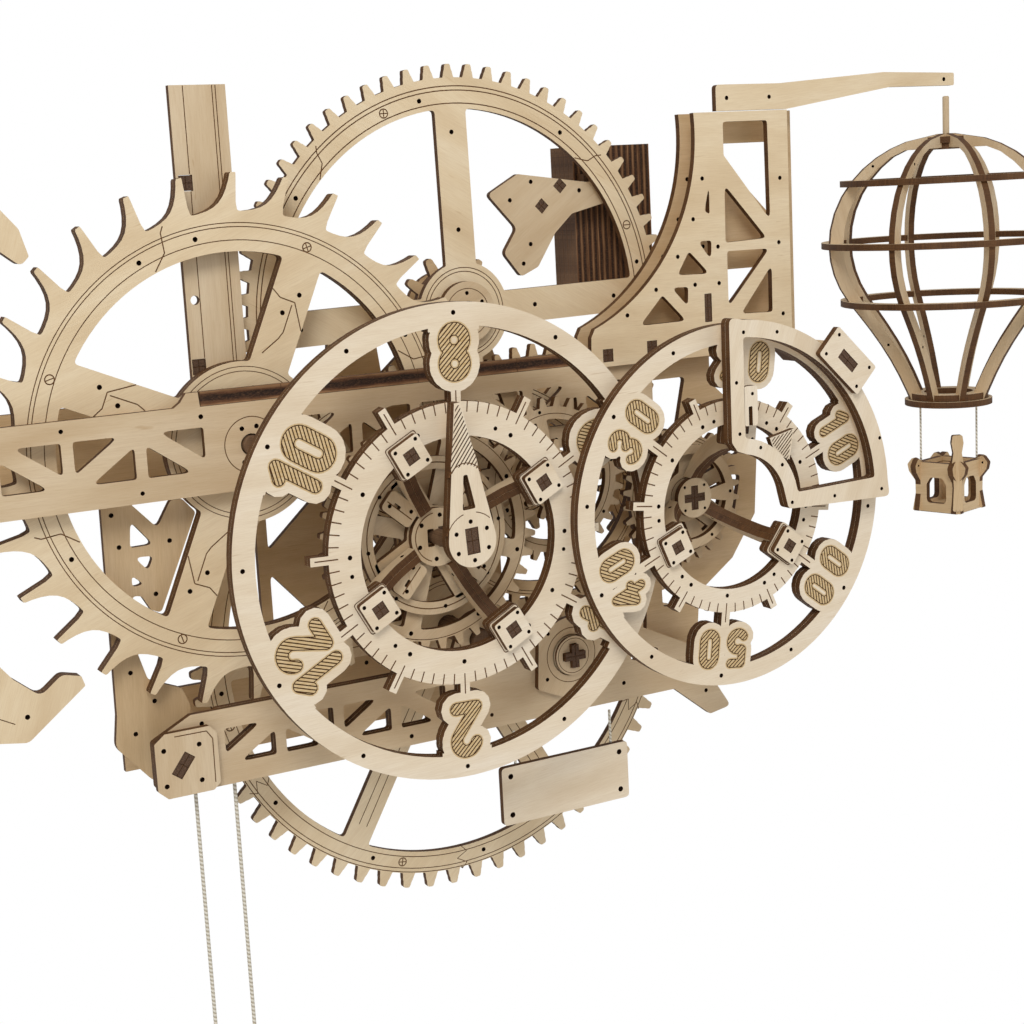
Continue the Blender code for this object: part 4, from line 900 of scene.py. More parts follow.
put("minute_hub_tongue", "minute_set", [([(x * 0.94, y * 0.94) for x, y in plus], 0), (rect(0, 0, 11, 0.3), 0.5), (rect(0, 0, 0.3, 11), 0.5)], (30.8, 33.6), MINUTE, "tenon")


# ================================================================ gears
def gear_paint(n, mod, phase, holes, bore_r, rings=(), pins_=(), **k):
    P = [(gear(n, mod, phase, **k), 0)] + [(h, None) for h in holes]
    if bore_r:
        P.append((circle(bore_r, 28), None))
    for r in rings:
        P += ring_line(r, 0.35, 110)
    return P + list(pins_)


def zigzag(r0, r1, a, amp=4.0, c=(0, 0)):
    """Engraved joint between two sheets that meet along a stepped line, over the width of a rim."""
    n = 4; pts = []
    for i in range(n + 1):
        r = r0 + (r1 - r0) * i / n
        pts.append(pol(r, a + (amp if i % 2 else -amp) * 57.3 / r * (0 if i in (0, n) else 1) * 0.5, c))
    return path_line(pts, 0.35)


# escape wheel: a lens shaped gap between leaning teeth
tooth = [(111.3, 94.6), (111.55, 97.5), (111.35, 108.4), (111.4, 109.2), (112.5, 109.2), (112.75, 108.5), (113.1, 106.0), (113.8, 102.6), (114.7, 99.7), (115.9, 97.3), (117.3, 95.7), (119.1, 94.6), (121.2, 94.0), (122.6, 93.9), (123.1, 94.1)]
esc = []
for k in range(30):
    for a, r in tooth:
        esc.append(pol(r, a + 12 * k))
P = [(esc, 0)] + [(sector(33.5, 77.8, 66.6 + 90 * k, 156.6 + 90 * k, 17.5, 5.0, 26), None) for k in range(4)]
for r in (89.2, 87.6, 82.3):
    P += ring_line(r, 0.4, 140)
for r in (31.3, 29.4):
    P += ring_line(r, 0.35, 80)
P.append((circle(4.6, 28), None))
P_back = [(esc, 0)] + [(sector(33.5, 77.8, 66.6 + 90 * k, 156.6 + 90 * k, 17.5, 5.0, 26), None) for k in range(4)] + [(circle(4.6, 28), None)]
for k in range(4):
    s = 66.6 + 90 * k
    loc = lambda r_, a_: pol(r_, s + a_)
    P.append(pin(loc(64.8, -2.8), 1.05)); P.append(pin(loc(55.5, 1.6), 1.05)); P.append(pin(loc(84.6, 50.0), 1.05)); P.append(pin(loc(84.6, 33.0), 1.05))
    P += screw(loc(84.3, 0.0), 1.9, s + 40, k == 0)
    P += path_line([loc(93.4, 40.3), loc(91.2, 41.4), loc(83.4, 42.4), loc(78.3, 47.1)], 0.5)
    P += path_line([loc(51.7, -9.6), loc(61.2, -2.1), loc(61.3, 4.2), loc(64.1, 7.8)], 0.5)
    P += path_line([loc(59.8, -1.3), loc(48.1, -1.6), loc(44.9, -0.2), loc(37.4, 7.2)], 0.5)
put("escape_wheel_sheet", "escape_set", P, (46.0, 48.95), ESCAPE, mat="wheel", grain=20, nodes=("escape_wheel",))
put("escape_wheel_back_sheet", "escape_set", P_back, (49.05, 52.0), ESCAPE, mat="wheel", grain=65)
put("escape_hub_washer", "escape_set", [(circle(11.5, 48), 0), (plus, None)] + [pin(pol(8.6, 45 + 90 * k)) for k in range(4)], (42.7, 45.7), ESCAPE, grain=50)
rod("escape_arbor_rod", "escape_set", ESCAPE, (36.0, 87.0), 4.0, [TENON, EDGE, LINE], nodes=("escape_arbor",))
ph_g = 20.0
ph_ep = mate(GREAT, 66, ph_g, ESCAPE, 10)
put("escape_pinion", "escape_set", gear_paint(10, M_GREAT, ph_ep, [], 4.0, (8.5,), wt=0.18, wr=0.50, wp=0.38), (60.0, 63.0), ESCAPE, "birch_rear", grain=10)
put("escape_pinion_back", "escape_set", gear_paint(10, M_GREAT, ph_ep, [], 4.0, (), wt=0.18, wr=0.50, wp=0.38), (63.1, 66.0), ESCAPE, "birch_rear", grain=10)

# great wheel
P = [(gear(66, M_GREAT, ph_g), 0)] + [(sector(22.0, 88.0, 91.0 + 90 * k, 181.0 + 90 * k, 15.0, 5.0, 30), None) for k in range(4)] + [(circle(5.4, 28), None)]
for r in (97.5, 95.7, 90.2):
    P += ring_line(r, 0.5, 140)
for r in (19.5, 17.8):
    P += ring_line(r, 0.4, 60)
for k in range(8):
    P.append(pin(pol(92.8, 100 + 45 * k), 1.05))
for k in range(4):
    s = 91 + 90 * k
    P += path_line([pol(r_, s + a_) for r_, a_ in ((99.0, 40.3), (96.6, 41.4), (92.0, 42.2), (88.3, 46.0))], 0.5); P += screw(pol(92.8, s + 20), 1.9, s, k % 2 == 0)
    P.append(pin(pol(36.0, s), 1.05)); P.append(pin(pol(78.0, s), 1.05))
put("great_wheel_sheet", "great_set", P, (60.0, 63.0), GREAT, mat="wheel", grain=-30, nodes=("great_wheel",))
put("great_hub_washer", "great_set", [(circle(13.5, 48), 0), (circle(4.9, 28), None)] + ring_line(10.4, 0.35, 48) + [pin(pol(12.0 - 3.6, 30 + 60 * k), 0.9) for k in range(6)], (56.6, 59.8), GREAT, grain=30)
rod("great_arbor_rod", "great_set", GREAT, (56.0, 88.0), 5.0, [TENON, EDGE, LINE], nodes=("great_arbor",))
ph_gp = mate(DRIVE, 62, 0.7, GREAT, 12)
put("great_pinion", "great_set", gear_paint(12, M_DRIVE, ph_gp, [], 5.0, (12.0,), wt=0.18, wr=0.50, wp=0.38), (70.0, 73.0), GREAT, "birch_rear", grain=10)

# drive wheel and its drum
P = [(gear(62, M_DRIVE, 0.7), 0)] + [(sector(24.0, 106.0, 60.0 + 60 * k, 120.0 + 60 * k, 13.0, 6.0, 26), None) for k in range(6)] + [(circle(5.4, 28), None)]
for r in (115.6, 113.8, 108.3):
    P += ring_line(r, 0.4, 150)
for r in (21.5, 19.8):
    P += ring_line(r, 0.35, 60)
for k in range(12):
    P.append(pin(pol(110.9, 66 + 30 * k), 1.05))
for k in range(6):
    s = 60 + 60 * k
    P += [(bar(pol(30, s + 3.4), pol(98, s + 1.2), 0.38), G), (bar(pol(30, s - 3.4), pol(98, s - 1.2), 0.38), G)]
    P += zigzag(106.0, 117.0, s + 30, 5.0); P += screw(pol(110.9, s + 14), 1.9, s + 20)
put("drive_wheel_sheet", "drive_set", P, (70.0, 73.0), DRIVE, mat="wheel", grain=40, nodes=("drive_wheel",))
rod("drive_arbor_rod", "drive_set", DRIVE, (36.0, 88.0), 5.0, [TENON, EDGE, LINE], nodes=("drive_arbor",))
for j, (d0, r) in enumerate(((74.0, 26.0), (75.6, 22.0), (78.4, 26.0))):
    put(f"drum_sheet_{j + 1}", "drive_set", [(circle(r, 64), 0), (circle(5.0, 28), None)], (d0, d0 + (1.5 if r > 23 else 2.7)), DRIVE, "birch_rear", grain=12)

# intermediate arbor
ph_iw = 10.0
ph_mp = mate(INTER, 40, ph_iw, MINUTE, 10)
ph_ip = mate(HOUR, 36, 3.0, INTER, 12)
r_iw = M_IW * 20
put("intermediate_front_sheet", "intermediate_set", gear_paint(30, 2.33, 0.0, [sector(10, 27.0, 10 + 90 * k, 100 + 90 * k, 5.0, 2.0) for k in range(4)], 4.0, (29.4,), [pin(pol(30.8, 10 + 45 * k), 0.8) for k in range(8)]), (31.4, 34.4), INTER, grain=70, nodes=("intermediate_front_wheel",))
put("intermediate_sheet", "intermediate_set", gear_paint(40, M_IW, ph_iw, [sector(12, r_iw - 10, 20 + 90 * k, 110 + 90 * k, 8.0, 2.5) for k in range(4)], 4.0, (r_iw - 4.2, r_iw - 5.6)), (42.3, 45.3), INTER, "birch_rear", grain=25, nodes=("intermediate_wheel",))
put("intermediate_pinion", "intermediate_set", gear_paint(12, M_HW, ph_ip, [], 3.6, (), wt=0.18, wr=0.50, wp=0.38), (27.3, 30.3), INTER, grain=5)
rod("intermediate_arbor_rod", "intermediate_set", INTER, (26.2, 48.0), 3.6, [TENON, EDGE, LINE], nodes=("intermediate_arbor",))
put("intermediate_washer", "intermediate_set", [(circle(8.0, 36), 0), (rect(0, 0, 4.8, 4.8, 20), None)] + [pin(pol(6.0, 45 + 90 * k + 20), 0.8) for k in range(4)], (23.6, 26.1), INTER, grain=65)
dark_end("intermediate_washer_tongue", "intermediate_set", INTER, (23.9, 26.1), 4.5, 4.5, 20)

# minute arbor
ph_mw = mate(GREAT, 66, ph_g, MINUTE, 17)
r_mw = M_GREAT * 8.5
put("minute_pinion", "minute_set", gear_paint(10, M_IW, ph_mp, [], 4.0, (), wt=0.18, wr=0.50, wp=0.38), (42.3, 45.3), MINUTE, "birch_rear", grain=5)
put("minute_wheel_sheet", "minute_set", gear_paint(17, M_GREAT, ph_mw, [sector(10, r_mw - 8.5, 120 * k, 120 + 120 * k, 6, 2.0) for k in range(3)], 4.4, (r_mw - 5.4,), wt=0.18, wr=0.50, wp=0.38), (60.0, 63.0), MINUTE, "birch_rear", grain=45, nodes=("minute_wheel",))
rod("minute_arbor_rod", "minute_set", MINUTE, (33.7, 65.0), 4.0, [TENON, EDGE, LINE], nodes=("minute_arbor",))

put("minute_train_sheet", "minute_set", gear_paint(28, 2.2, 4.0, [sector(12, 21.5, 20 + 90 * k, 110 + 90 * k, 7.0, 2.0) for k in range(4)], 4.2, (27.2, 25.8), [pin(pol(24.0, 20 + 45 * k), 0.8) for k in range(8)]), (34.0, 36.9), MINUTE, grain=75)
# angled plates behind the great wheel, held off the stacked block by a spacer
P = [(rounded([(72.5, 148.9), (109.8, 143.6), (118.0, 150.0), (118.0, 134.0), (100.0, 130.0), (90.7, 121.7), (81.0, 107.1), (72.0, 103.3), (63.6, 114.2), (70.9, 124.9), (56.9, 140.5)], [2, 3, 1, 1, 4, 3, 3, 2, 3, 3, 2]), 0), (rect(94.3, 142.8, 5.0, 5.0, 45), None), (rect(84.3, 134.2, 5.0, 5.0, 45), None)] + pins([(104.4, 140.2), (77.6, 117.5), (73.5, 109.0), (79.2, 145.2), (68, 137.5)], 1.0)
put("bracket_sheet", "frame", P, (66.0, 69.0), grain=35)
for j_, c_ in enumerate(((94.3, 142.8), (84.3, 134.2))):
    dark_end(f"bracket_tongue_{j_ + 1}", "frame", c_, (66.3, 72.0), 4.7, 4.7, 45)
put("bracket_spacer", "frame", [([(109, 135.5), (117.5, 135.5), (117.5, 147.5), (109, 147.5)], 0)], (69.1, 74.9), mat="tenon", grain=45)

# winding arbor: a flange and a plus shaped tongue
rod("winding_arbor_rod", "winder", WINDER, (34.4, 56.0), 9.0, [FACE], 40, ("winding_arbor",))
put("winding_front", "winder", [(circle(9.0, 44), 0), (plus, None)] + ring_line(8.0, 0.3, 40), (33.0, 34.3), WINDER, grain=80)
put("winding_tongue", "winder", [([(x * 0.95, y * 0.95) for x, y in plus], 0), (rect(0, 0, 11, 0.3), 0.6), (rect(0, 0, 0.3, 11), 0.6)], (31.0, 34.3), WINDER, "tenon")
put("winding_flange", "winder", [(circle(15.0, 56), 0), (circle(8.9, 44), None)] + ring_line(12.4, 0.35, 50), (50.4, 53.6), WINDER, grain=22)

# ================================================================ beams
PIVOT_ = PIVOT
beam = ([(-222.0, 63.6)] + arc(15.0, 100, 262, 21, PIVOT) + [(-216.0, 27.8), (-14, 27.8), (-11, -6)] + arc(11.0, 215, 325, 13, HOUR) +
        [(11, -6), (14, 27.8), (122.0, 27.8), (122.0, 69.5), (97.0, 69.5), (95.3, 63.6), (-93.5, 63.6), (-94.0, 69.5), (-99.0, 69.5), (-101.6, 66.0), (-104.5, 64.0)])


def truss(x0, x1, z0, z1, cell, strut, flip=False, r=1.3):
    out = []; n = max(1, round((x1 - x0) / cell)); w = (x1 - x0) / n
    for i in range(n):
        a, b = x0 + i * w + strut / 2, x0 + (i + 1) * w - strut / 2
        k = strut * 0.62
        if (i % 2 == 0) != flip:
            out.append([(a, z0), (b - 2 * k, z0), (a, z1 - 1.6 * k)]); out.append([(b, z1), (a + 2 * k, z1), (b, z0 + 1.6 * k)])
        else:
            out.append([(b, z0), (b, z1 - 1.6 * k), (a + 2 * k, z0)]); out.append([(a, z1), (a, z0 + 1.6 * k), (b - 2 * k, z1)])
    return [rounded(p, r, 4) for p in out]


cells = truss(-206.0, -90.5, 37.6, 55.3, 28.9, 4.7, True) + truss(-53.5, 111.5, 37.6, 55.3, 27.5, 4.7, True)
P = [(beam, 0)] + [(c, None) for c in cells] + [(circle(4.6, 24, ESCAPE), None), (circle(4.6, 24, PIVOT), None), (circle(3.8, 24), None)]
P += ring_line(11.5, 0.4, 60, ESCAPE) + [pin(pol(7.8, a, ESCAPE), 1.0) for a in (70, 118, 242, 290)] + [pin((-93.5, 59.6)), pin((-56.5, 60.0)), pin((118, 59.0)), pin((118, 33)), pin((-150, 59.8), 0.9), pin((-180, 31.8), 0.9), pin((-120, 31.8), 0.9), pin((20, 59.6)), pin((70, 31.6))]
put("upper_beam_sheet", "frame", P, (38.3, 41.2), grain=0, nodes=("upper_beam_front",))
P2 = [(beam, 0)] + [(c, None) for c in cells] + [(circle(4.6, 24, ESCAPE), None), (circle(4.6, 24, PIVOT), None), (circle(3.8, 24), None)]
# top rail: the edges of a stack, one sheet proud of the next, with joints along it
for j, (x0, x1) in enumerate(((-93.2, -58.6), (-58.4, 3.6), (3.8, 52.0), (52.2, 94.9))):
    P = [([(x0, 63.8), (x1, 63.8), (x1, 69.5), (x0, 69.5)], 0), ([(x0, 65.3), (x1, 65.3), (x1, 67.6), (x0, 67.6)], 0.2)]
    for q in ((-82.5, -69.5) if j == 0 else (-30.0, -12.0) if j == 1 else (18.0, 40.0) if j == 2 else (70.0, 80.0)):
        P.append((rect(q, 66.6, 0.5, 6.0), 0.1))
    put(f"top_rail_sheet_{j + 1}", "frame", P, (38.3, 41.3), mat="rail", nodes=("top_rail",) if j == 0 else ())
rear = ([(-222.0, 63.6)] + arc(15.0, 100, 262, 21, PIVOT) + [(-216.0, 27.8), (122.0, 27.8), (122.0, 63.6), (66, 63.6), (56, 92)] + arc(17.5, 5, 175, 21, GREAT) + [(16, 72), (6, 63.6)])
rcells = truss(-206.0, -90.5, 36.5, 56.0, 28.9, 5.0) + truss(-52.0, 113.0, 36.5, 56.0, 27.5, 5.0)
P = [(rear, 0), (circle(4.6, 24, ESCAPE), None), (circle(4.6, 24, PIVOT), None), (circle(5.6, 24, GREAT), None)] + ring_line(11.5, 0.4, 50, ESCAPE) + ring_line(12.0, 0.4, 50, GREAT) + [pin((x, 60), 1.0) for x in (-200, -150, -110, -40, 0, 100)]
put("upper_beam_rear_sheet", "frame", P, (82.0, 85.0), mat="birch_rear", grain=0, nodes=("upper_beam_rear",))

low = [(-120, -94), (-125.5, -89), (-125.5, -70), (-108.5, -61.5), (10, -61.5), (16, -46)] + arc(13.5, 140, 40, 13, DRIVE) + [(44, -56), (96, -50), (112, -61.5), (138, -74), (160, -108), (148, -110), (128, -94)]
P = [(rounded(low, [2, 2, 2, 1, 0, 0] + [0] * 13 + [0, 3, 0, 3, 2, 2, 0]), 0)] + [(c, None) for c in truss(-97.0, 10.0, -85.3, -70.0, 26.7, 4.7, True)] + [(circle(5.6, 28, DRIVE), None), (circle(9.6, 36, WINDER), None)]
P += ring_line(10.4, 0.4, 44, DRIVE) + [pin((-104, -66)), pin((-60, -65.4), 0.9), (circle(0.9, 12, (30, -88)), None), pin((-10, -90)), pin((46, -62)), pin((96, -58)), pin((100, -86)), pin((124, -84)), pin((146, -98))]
P += [(rounded(rect(112, -74, 14, 8, -20), 1.5), None), (rounded([(30, -70), (48, -70), (42, -84), (30, -84)], 1.5), None)][:1]
put("lower_beam_sheet", "frame", P, (38.3, 41.2), grain=0, nodes=("lower_beam_front",))
put("lower_beam_back_sheet", "frame", [(rounded([(-97, -94), (-97, -61.5), (10, -61.5), (12, -66), (12, -94)], 1.0), 0)] + [(c, None) for c in truss(-97.0, 10.0, -85.3, -70.0, 26.7, 4.7, True)], (41.4, 44.3), grain=0)
lowr = [(-125, -94), (-125, -61.5), (-64, -61.5), (-58, -50), (-58, 27.4), (62, 27.4), (62, -50), (68, -61.5), (120, -61.5), (120, -94)]
put("lower_beam_rear_sheet", "frame", [(lowr, 0), (circle(5.6, 28, DRIVE), None)] + [(rounded(q, 1.5), None) for q in ([(-53, -46), (-28, -46), (-53, -18)], [(-53, 20), (-22, 20), (-53, -8)], [(-20, -8), (8, -8), (-6, -40)])] + ring_line(10.4, 0.4, 44, DRIVE) + [pin((x, -66)) for x in (-110, -60, -10, 60, 110)], (82.0, 85.0), mat="birch_rear", grain=0, nodes=("lower_beam_rear",))
ep = rounded([(-125.6, -90), (-121.5, -93.8), (-102, -93.8), (-99, -91), (-99, -70), (-102, -66.5), (-121, -66.5), (-125.6, -70)], 1.0)
P = [(ep, 0), (rect(-114.2, -80.9, 5.2, 10.5, -37), None)] + pins([(-121.9, -73.4), (-106.9, -73.3), (-106.9, -88.5), (-121.8, -88.4)], 1.05) + lines([[(-117.0, -68.3), (-103.4, -68.4), (-101.0, -72.0), (-101.2, -90.6)]], 0.45)
put("end_plate_sheet", "frame", P, (35.0, 37.9), grain=90, nodes=("end_plate_lower_left",))
dark_end("end_plate_tongue", "frame", (-114.2, -80.9), (35.4, 38.0), 4.9, 10.2, -37)
put("end_plate_washer", "frame", [(rounded([(-124.5, -86), (-121, -92), (-103, -92), (-101, -88), (-101, -72), (-104, -68), (-120, -68), (-124.5, -72)], 1.0), 0)], (38.3, 41.2), grain=0)

# left post
P = [([(-90.3, 66.5), (-66.5, 66.5), (-66.5, 190), (-90.3, 190)], 0), (rect(-86.3, 151.7, 5.8, 6.4), None), (rect(-87, 78, 5.8, 6.4), None), (circle(1.9, 20, (-86.5, 105)), None), (circle(1.0, 14, (-86.2, 135)), None)]
P += lines([[(-84.4, 81.5), (-84.4, 148.3)], [(-84.4, 155.2), (-84.4, 189.8)], [(-72.2, 66.7), (-72.2, 189.8)], [(-70.8, 66.7), (-70.8, 189.8)]], 0.4)
put("left_post_sheet", "frame", P, (54.0, 57.0), grain=90, nodes=("left_post",))
for j, (cx_, cz_) in enumerate(((-86.3, 151.7), (-87, 78))):
    dark_end(f"left_post_tongue_{j + 1}", "frame", (cx_, cz_), (54.3, 57.2), 5.5, 6.1)
P = [(rounded([(-133, 27), (-121, 26), (-110.5, 14.5), (-104, 25), (-99, 25), (-93.8, 18.8), (-112, -21), (-116.2, -18.8), (-119.5, -12.8), (-123.4, -12.1), (-123.4, -36), (-120, -48), (-106, -54), (-103, -62), (-108, -93), (-121.6, -91), (-136, -74), (-134.3, -60.7)], [1.5, 2, 2, 2, 2, 2, 2, 1, 2, 2, 4, 4, 3, 3, 3, 6, 6, 2]), 0)]
P += [(rounded(q, 1.5), None) for q in ([(-121.5, 18.8), (-112.7, 7.9), (-122.5, 7.7)], [(-121.3, 3.7), (-113.1, 3.1), (-115.8, -2.5)], [(-123, -3.6), (-118, -7.9), (-123, -8.5)])]
P += pins([(-127.0, 8.6), (-105.8, 8.5), (-113.5, -12.7), (-127.1, -43.8), (-118.1, -57.3), (-127.2, -69.8), (-129, 22)], 1.0)
put("rear_truss_sheet", "frame", P, (54.0, 57.0), mat="birch_rear", grain=88, nodes=("rear_truss",))

# ================================================================ tower at the right
edge = arc(90.1, 5.6, -68.6, 44, (57.7, 163.1))
tower = [(200.0, 172.0)] + edge + [(88.6, 75.5), (88.0, 62.0), (200.0, 62.0)]
holes = [[(163.4, 139.2), (163.0, 113.0), (186.6, 113.8)], [(163.4, 152.5), (188.8, 122.0), (188.4, 167.5), (163.4, 167.5)], [(163.7, 109.1), (187.9, 108.9), (163.7, 83.6)],
         [(189.0, 101.3), (188.8, 79.3), (170.6, 79.8)], [(154.7, 140.0), (154.6, 126.2), (151.9, 128.0)], [(147.7, 114.6), (155.1, 114.5), (154.7, 105.5)],
         [(142.5, 110.4), (153.5, 99.5), (135.7, 100.0)], [(132.3, 94.6), (141.4, 94.3), (141.0, 85.3)], [(127.2, 91.6), (139.8, 79.0), (114.5, 78.8)]]
tp_ = [(151.1, 142.6), (145.4, 124.6), (136.3, 108.3), (123.9, 94.3), (158.7, 111.5), (193.5, 111.4), (145.3, 95), (158.7, 94.8), (195, 141), (195, 78), (108, 84)]
P = [(tower, 0)] + [(rounded(h_, 1.5), None) for h_ in holes] + [(rect(97.0, 67.0, 5.4, 5.8), None), (rect(120.6, 68.7, 5.4, 5.8), None), (rounded(rect(152.2, 84, 4.0, 13), 0.4), None)] + pins(tp_, 1.0)
put("tower_sheet", "frame", P, (35.0, 38.0), mat="wheel", grain=0, nodes=("tower_front",))
for j, c in enumerate(((97.0, 67.0), (120.6, 68.7))):
    dark_end(f"tower_tongue_{j + 1}", "frame", c, (35.3, 38.2), 5.1, 5.5)
dark_end("tower_tongue_3", "frame", (152.2, 84), (35.3, 38.2), 3.7, 12.6)
tower2 = [(211.0, 172.0)] + edge + [(88.6, 75.5), (88.0, 64.5), (113, 60), (118, 20), (113, -8), (120, -50), (118, -96), (146, -96), (150, -52), (170, -38), (184, -18), (186, 10), (178, 32), (160, 48), (160, 60), (211.0, 64)]
h2 = [[(163.4, 158), (200, 158), (200, 122)], [(163.4, 100), (200, 100), (163.4, 76)], [(126, 52), (146, 52), (140, 26), (128, 26)], [(152, 40), (170, 28), (176, 12), (152, 12)], [(152, 4), (176, 2), (172, -16), (152, -10)], [(128, -26), (140, -26), (141, -56), (129, -56)]]
P = [(tower2, 0)] + [(rounded(h_, 2.0), None) for h_ in h2] + [(circle(4.6, 28, MINUTE), None)] + pins(tp_[:6] + [(122, -80), (140, -80), (148, 10), (118, 10)], 1.0) + ring_line(10.5, 0.4, 44, MINUTE)
put("tower_back_sheet", "frame", P, (47.0, 50.0), mat="birch_rear", grain=0, nodes=("tower_rear",))
for j in range(5):
    x0 = 107.0; d0 = 75.0 + 4.0 * j
    P = [([(107, 93), (149, 93), (149, 160), (107, 160)], 0)] + [(rect(107 + 42 * t, 126.5, 0.5, 67), 0.3) for t in (0.14, 0.28, 0.43, 0.57, 0.71, 0.86)]
    put(f"block_sheet_{j + 1}", "frame", P, (d0, d0 + 3.85), mat="laminate", nodes=("laminated_block",) if j == 0 else ())
cb = [(54.5, -50)] + arc(17.5, 120, -60, 30, WINDER) + [(66.5, -86), (52.5, -80)]
P = [(rounded(cb, [2] + [0] * 30 + [2, 2]), 0), (circle(9.6, 40, WINDER), None)] + ring_line(12.6, 0.35, 50, WINDER) + [pin((57.5, -76), 0.9), pin((59, -55), 0.9)]
put("cross_bearing_sheet", "frame", P, (35.0, 38.0), grain=60, nodes=("cross_bearing",))
# ================================================================ wall side
P = [(rounded([(-70, 32), (70, 32), (70, 60), (14, 60), (10, 92), (-10, 92), (-14, 60), (-70, 60)], [3, 3, 3, 4, 4, 4, 4, 3]), 0), (circle(4.0, 32, (0, 78)), None)] + ring_line(7.0, 0.35, 40, (0, 78)) + pins([(-62, 46), (62, 46), (-30, 46), (30, 46)], 1.2)
put("wall_plate_sheet", "frame", P, (97.0, 100.0), mat="birch_rear", grain=0, nodes=("wall_plate",))
for nm, x0, x1 in (("left", -56, -44), ("right", 44, 56)):
    for j in range(3):
        put(f"wall_spacer_{nm}_sheet_{j + 1}", "frame", [(rounded([(x0, 34), (x1, 34), (x1, 58), (x0, 58)], 1.0), 0)] + ([pin(((x0 + x1) / 2, 46))] if j == 0 else []), (85.3 + 3.8 * j, 88.95 + 3.8 * j + (0.15 if j == 2 else 0)), mat="birch_rear", grain=90,
            nodes=(f"wall_spacer_{nm}",) if j == 0 else ())
P = [(rounded([(160, 172.3), (200, 172.3), (262, 181), (302.5, 181), (302.5, 187), (258, 188), (196, 184), (160, 184)], [0, 2, 6, 1, 1, 6, 4, 2]), 0)] + pins([(166, 178), (190, 178), (296, 184)], 1.0)
put("balloon_arm_sheet", "frame", P, (35.0, 38.0), mat="wheel", grain=5, nodes=("balloon_arm",))


# ================================================================ anchor and pendulum
outer = [(-164.0, 146.5), (-184, 140), (-206, 116), (-226, 72)] + arc(14.0, 120, 250, 16, PIVOT) + [(-222, -8), (-206, -38), (-188, -60), (-172.5, -62.5)]
inner = [(-148.0, -43.5), (-149.3, -39.3), (-157.0, -37.4), (-166.0, -44.5), (-176.0, -36.0), (-190.0, -18.0), (-206, 10), (-213, 31), (-206, 66), (-190, 104), (-176, 124), (-167, 131.5), (-157.0, 123.5), (-153.6, 127.0), (-156.5, 137.5)]
ol = outer + inner
rr = [3, 8, 14, 14] + [0] * 16 + [14, 14, 12, 4] + [0.8, 0.8, 4, 4, 3, 10, 10, 6, 10, 10, 6, 3, 3, 0.8, 4]
P = [(rounded(ol, rr), 0), (circle(4.4, 28, PIVOT), None)] + ring_line(10.0, 0.35, 50, PIVOT) + ring_line(8.6, 0.35, 50, PIVOT)
P += pins([(-166, 138), (-196, 120), (-216, 84), (-216, -16), (-196, -44), (-172, -52)], 1.05) + [(rounded(rect(-172.0, 136.0, 3.0, 6.0, 30), 0.3), None)]
P += lines([[(-222, 60), (-206, 100), (-190, 122), (-178, 132)], [(-218, 4), (-204, -26), (-188, -48), (-177, -54)]], 0.4)
P += [i for s_ in ([(-184, 140), (-180, 133), (-183, 128), (-178, 121.5)], [(-222, -8), (-215, -6), (-213, -14), (-206, -20)]) for i in path_line(s_, 0.38)]
put("anchor_sheet", "anchor_set", P, (46.0, 48.95), mat="wheel", grain=70, nodes=("anchor",))
put("anchor_back_sheet", "anchor_set", [(rounded(ol, rr), 0), (circle(4.4, 28, PIVOT), None)], (49.05, 52.0), grain=75)
rod("anchor_arbor_rod", "anchor_set", PIVOT, (36.0, 87.0), 4.0, [TENON, EDGE, LINE])
put("anchor_washer", "anchor_set", [(circle(9.5, 44), 0), (plus, None)] + [pin(pol(7.4, 45 + 90 * k), 0.85) for k in range(4)], (42.7, 45.7), PIVOT, grain=35)
px0, pz0 = PIVOT; PEN = -205.0
pend = arc(26.0, 97, 443, 64, (px0, PEN)) + [(px0 + 3.2, PEN + 26), (px0 + 3.2, pz0 - 10)] + arc(10.0, -70, 250, 26, PIVOT) + [(px0 - 3.2, pz0 - 10), (px0 - 3.2, PEN + 26)]
for j, d in enumerate(((55.0, 57.95), (58.05, 61.0))):
    P = [(pend, 0), (circle(4.4, 24, PIVOT), None)]
    if j == 0:
        P += ring_line(22.0, 0.4, 70, (px0, PEN)) + ring_line(20.4, 0.4, 70, (px0, PEN)) + [pin(pol(24.0, 30 + 60 * k, (px0, PEN)), 0.9) for k in range(6)]
        for k in range(8):
            P.append((bar(pol(6, 22.5 + 45 * k, (px0, PEN)), pol(18.5, 22.5 + 45 * k, (px0, PEN)), 0.4), G))
        P += ring_line(5.0, 0.4, 30, (px0, PEN))
    put(f"pendulum_sheet_{j + 1}", "anchor_set", P, d, grain=90, nodes=("pendulum",) if j == 0 else ())

# ================================================================ hot-air balloon
bx, bd, bz = BALLOON


def envelope(z):
    if z >= -28:
        return 60.0 * math.sqrt(max(1 - (z / 52.0) ** 2, 0.0))
    t = (-28 - z) / (81.0 - 28)
    return 50.6 + (18.5 - 50.6) * t - 3.0 * math.sin(math.pi * t)


zz = [-80.5, -74, -66, -58, -50, -42, -35, -28, -21, -14, -7, 0, 8, 16, 24, 31, 37, 42, 46, 49]
prof = [(envelope(z), z) for z in zz]
inn = [(max(r - (6.6 if r > 12 else 5), 3.0), min(z, 45.0) if z > 44 else z) for r, z in prof]
half = prof + [(4.0, 52.0), (4.0, 45.5)] + [(r, min(z, 45.0)) for r, z in reversed(inn)]
half = [half[i] for i in range(len(half)) if i == 0 or math.dist(half[i], half[i - 1]) > 0.3]
for k in range(8):
    put(f"balloon_rib_{k + 1}", "balloon", [(half, 0), pin((envelope(38) - 3.2, 38), 0.7, 10), pin((envelope(-50) - 3.2, -50), 0.7, 10)], (0, 3.0), grain=75, nodes=("balloon_ribs",) if k == 0 else (), mtx=upright(bx, bd, bz, 22.5 + 45 * k))


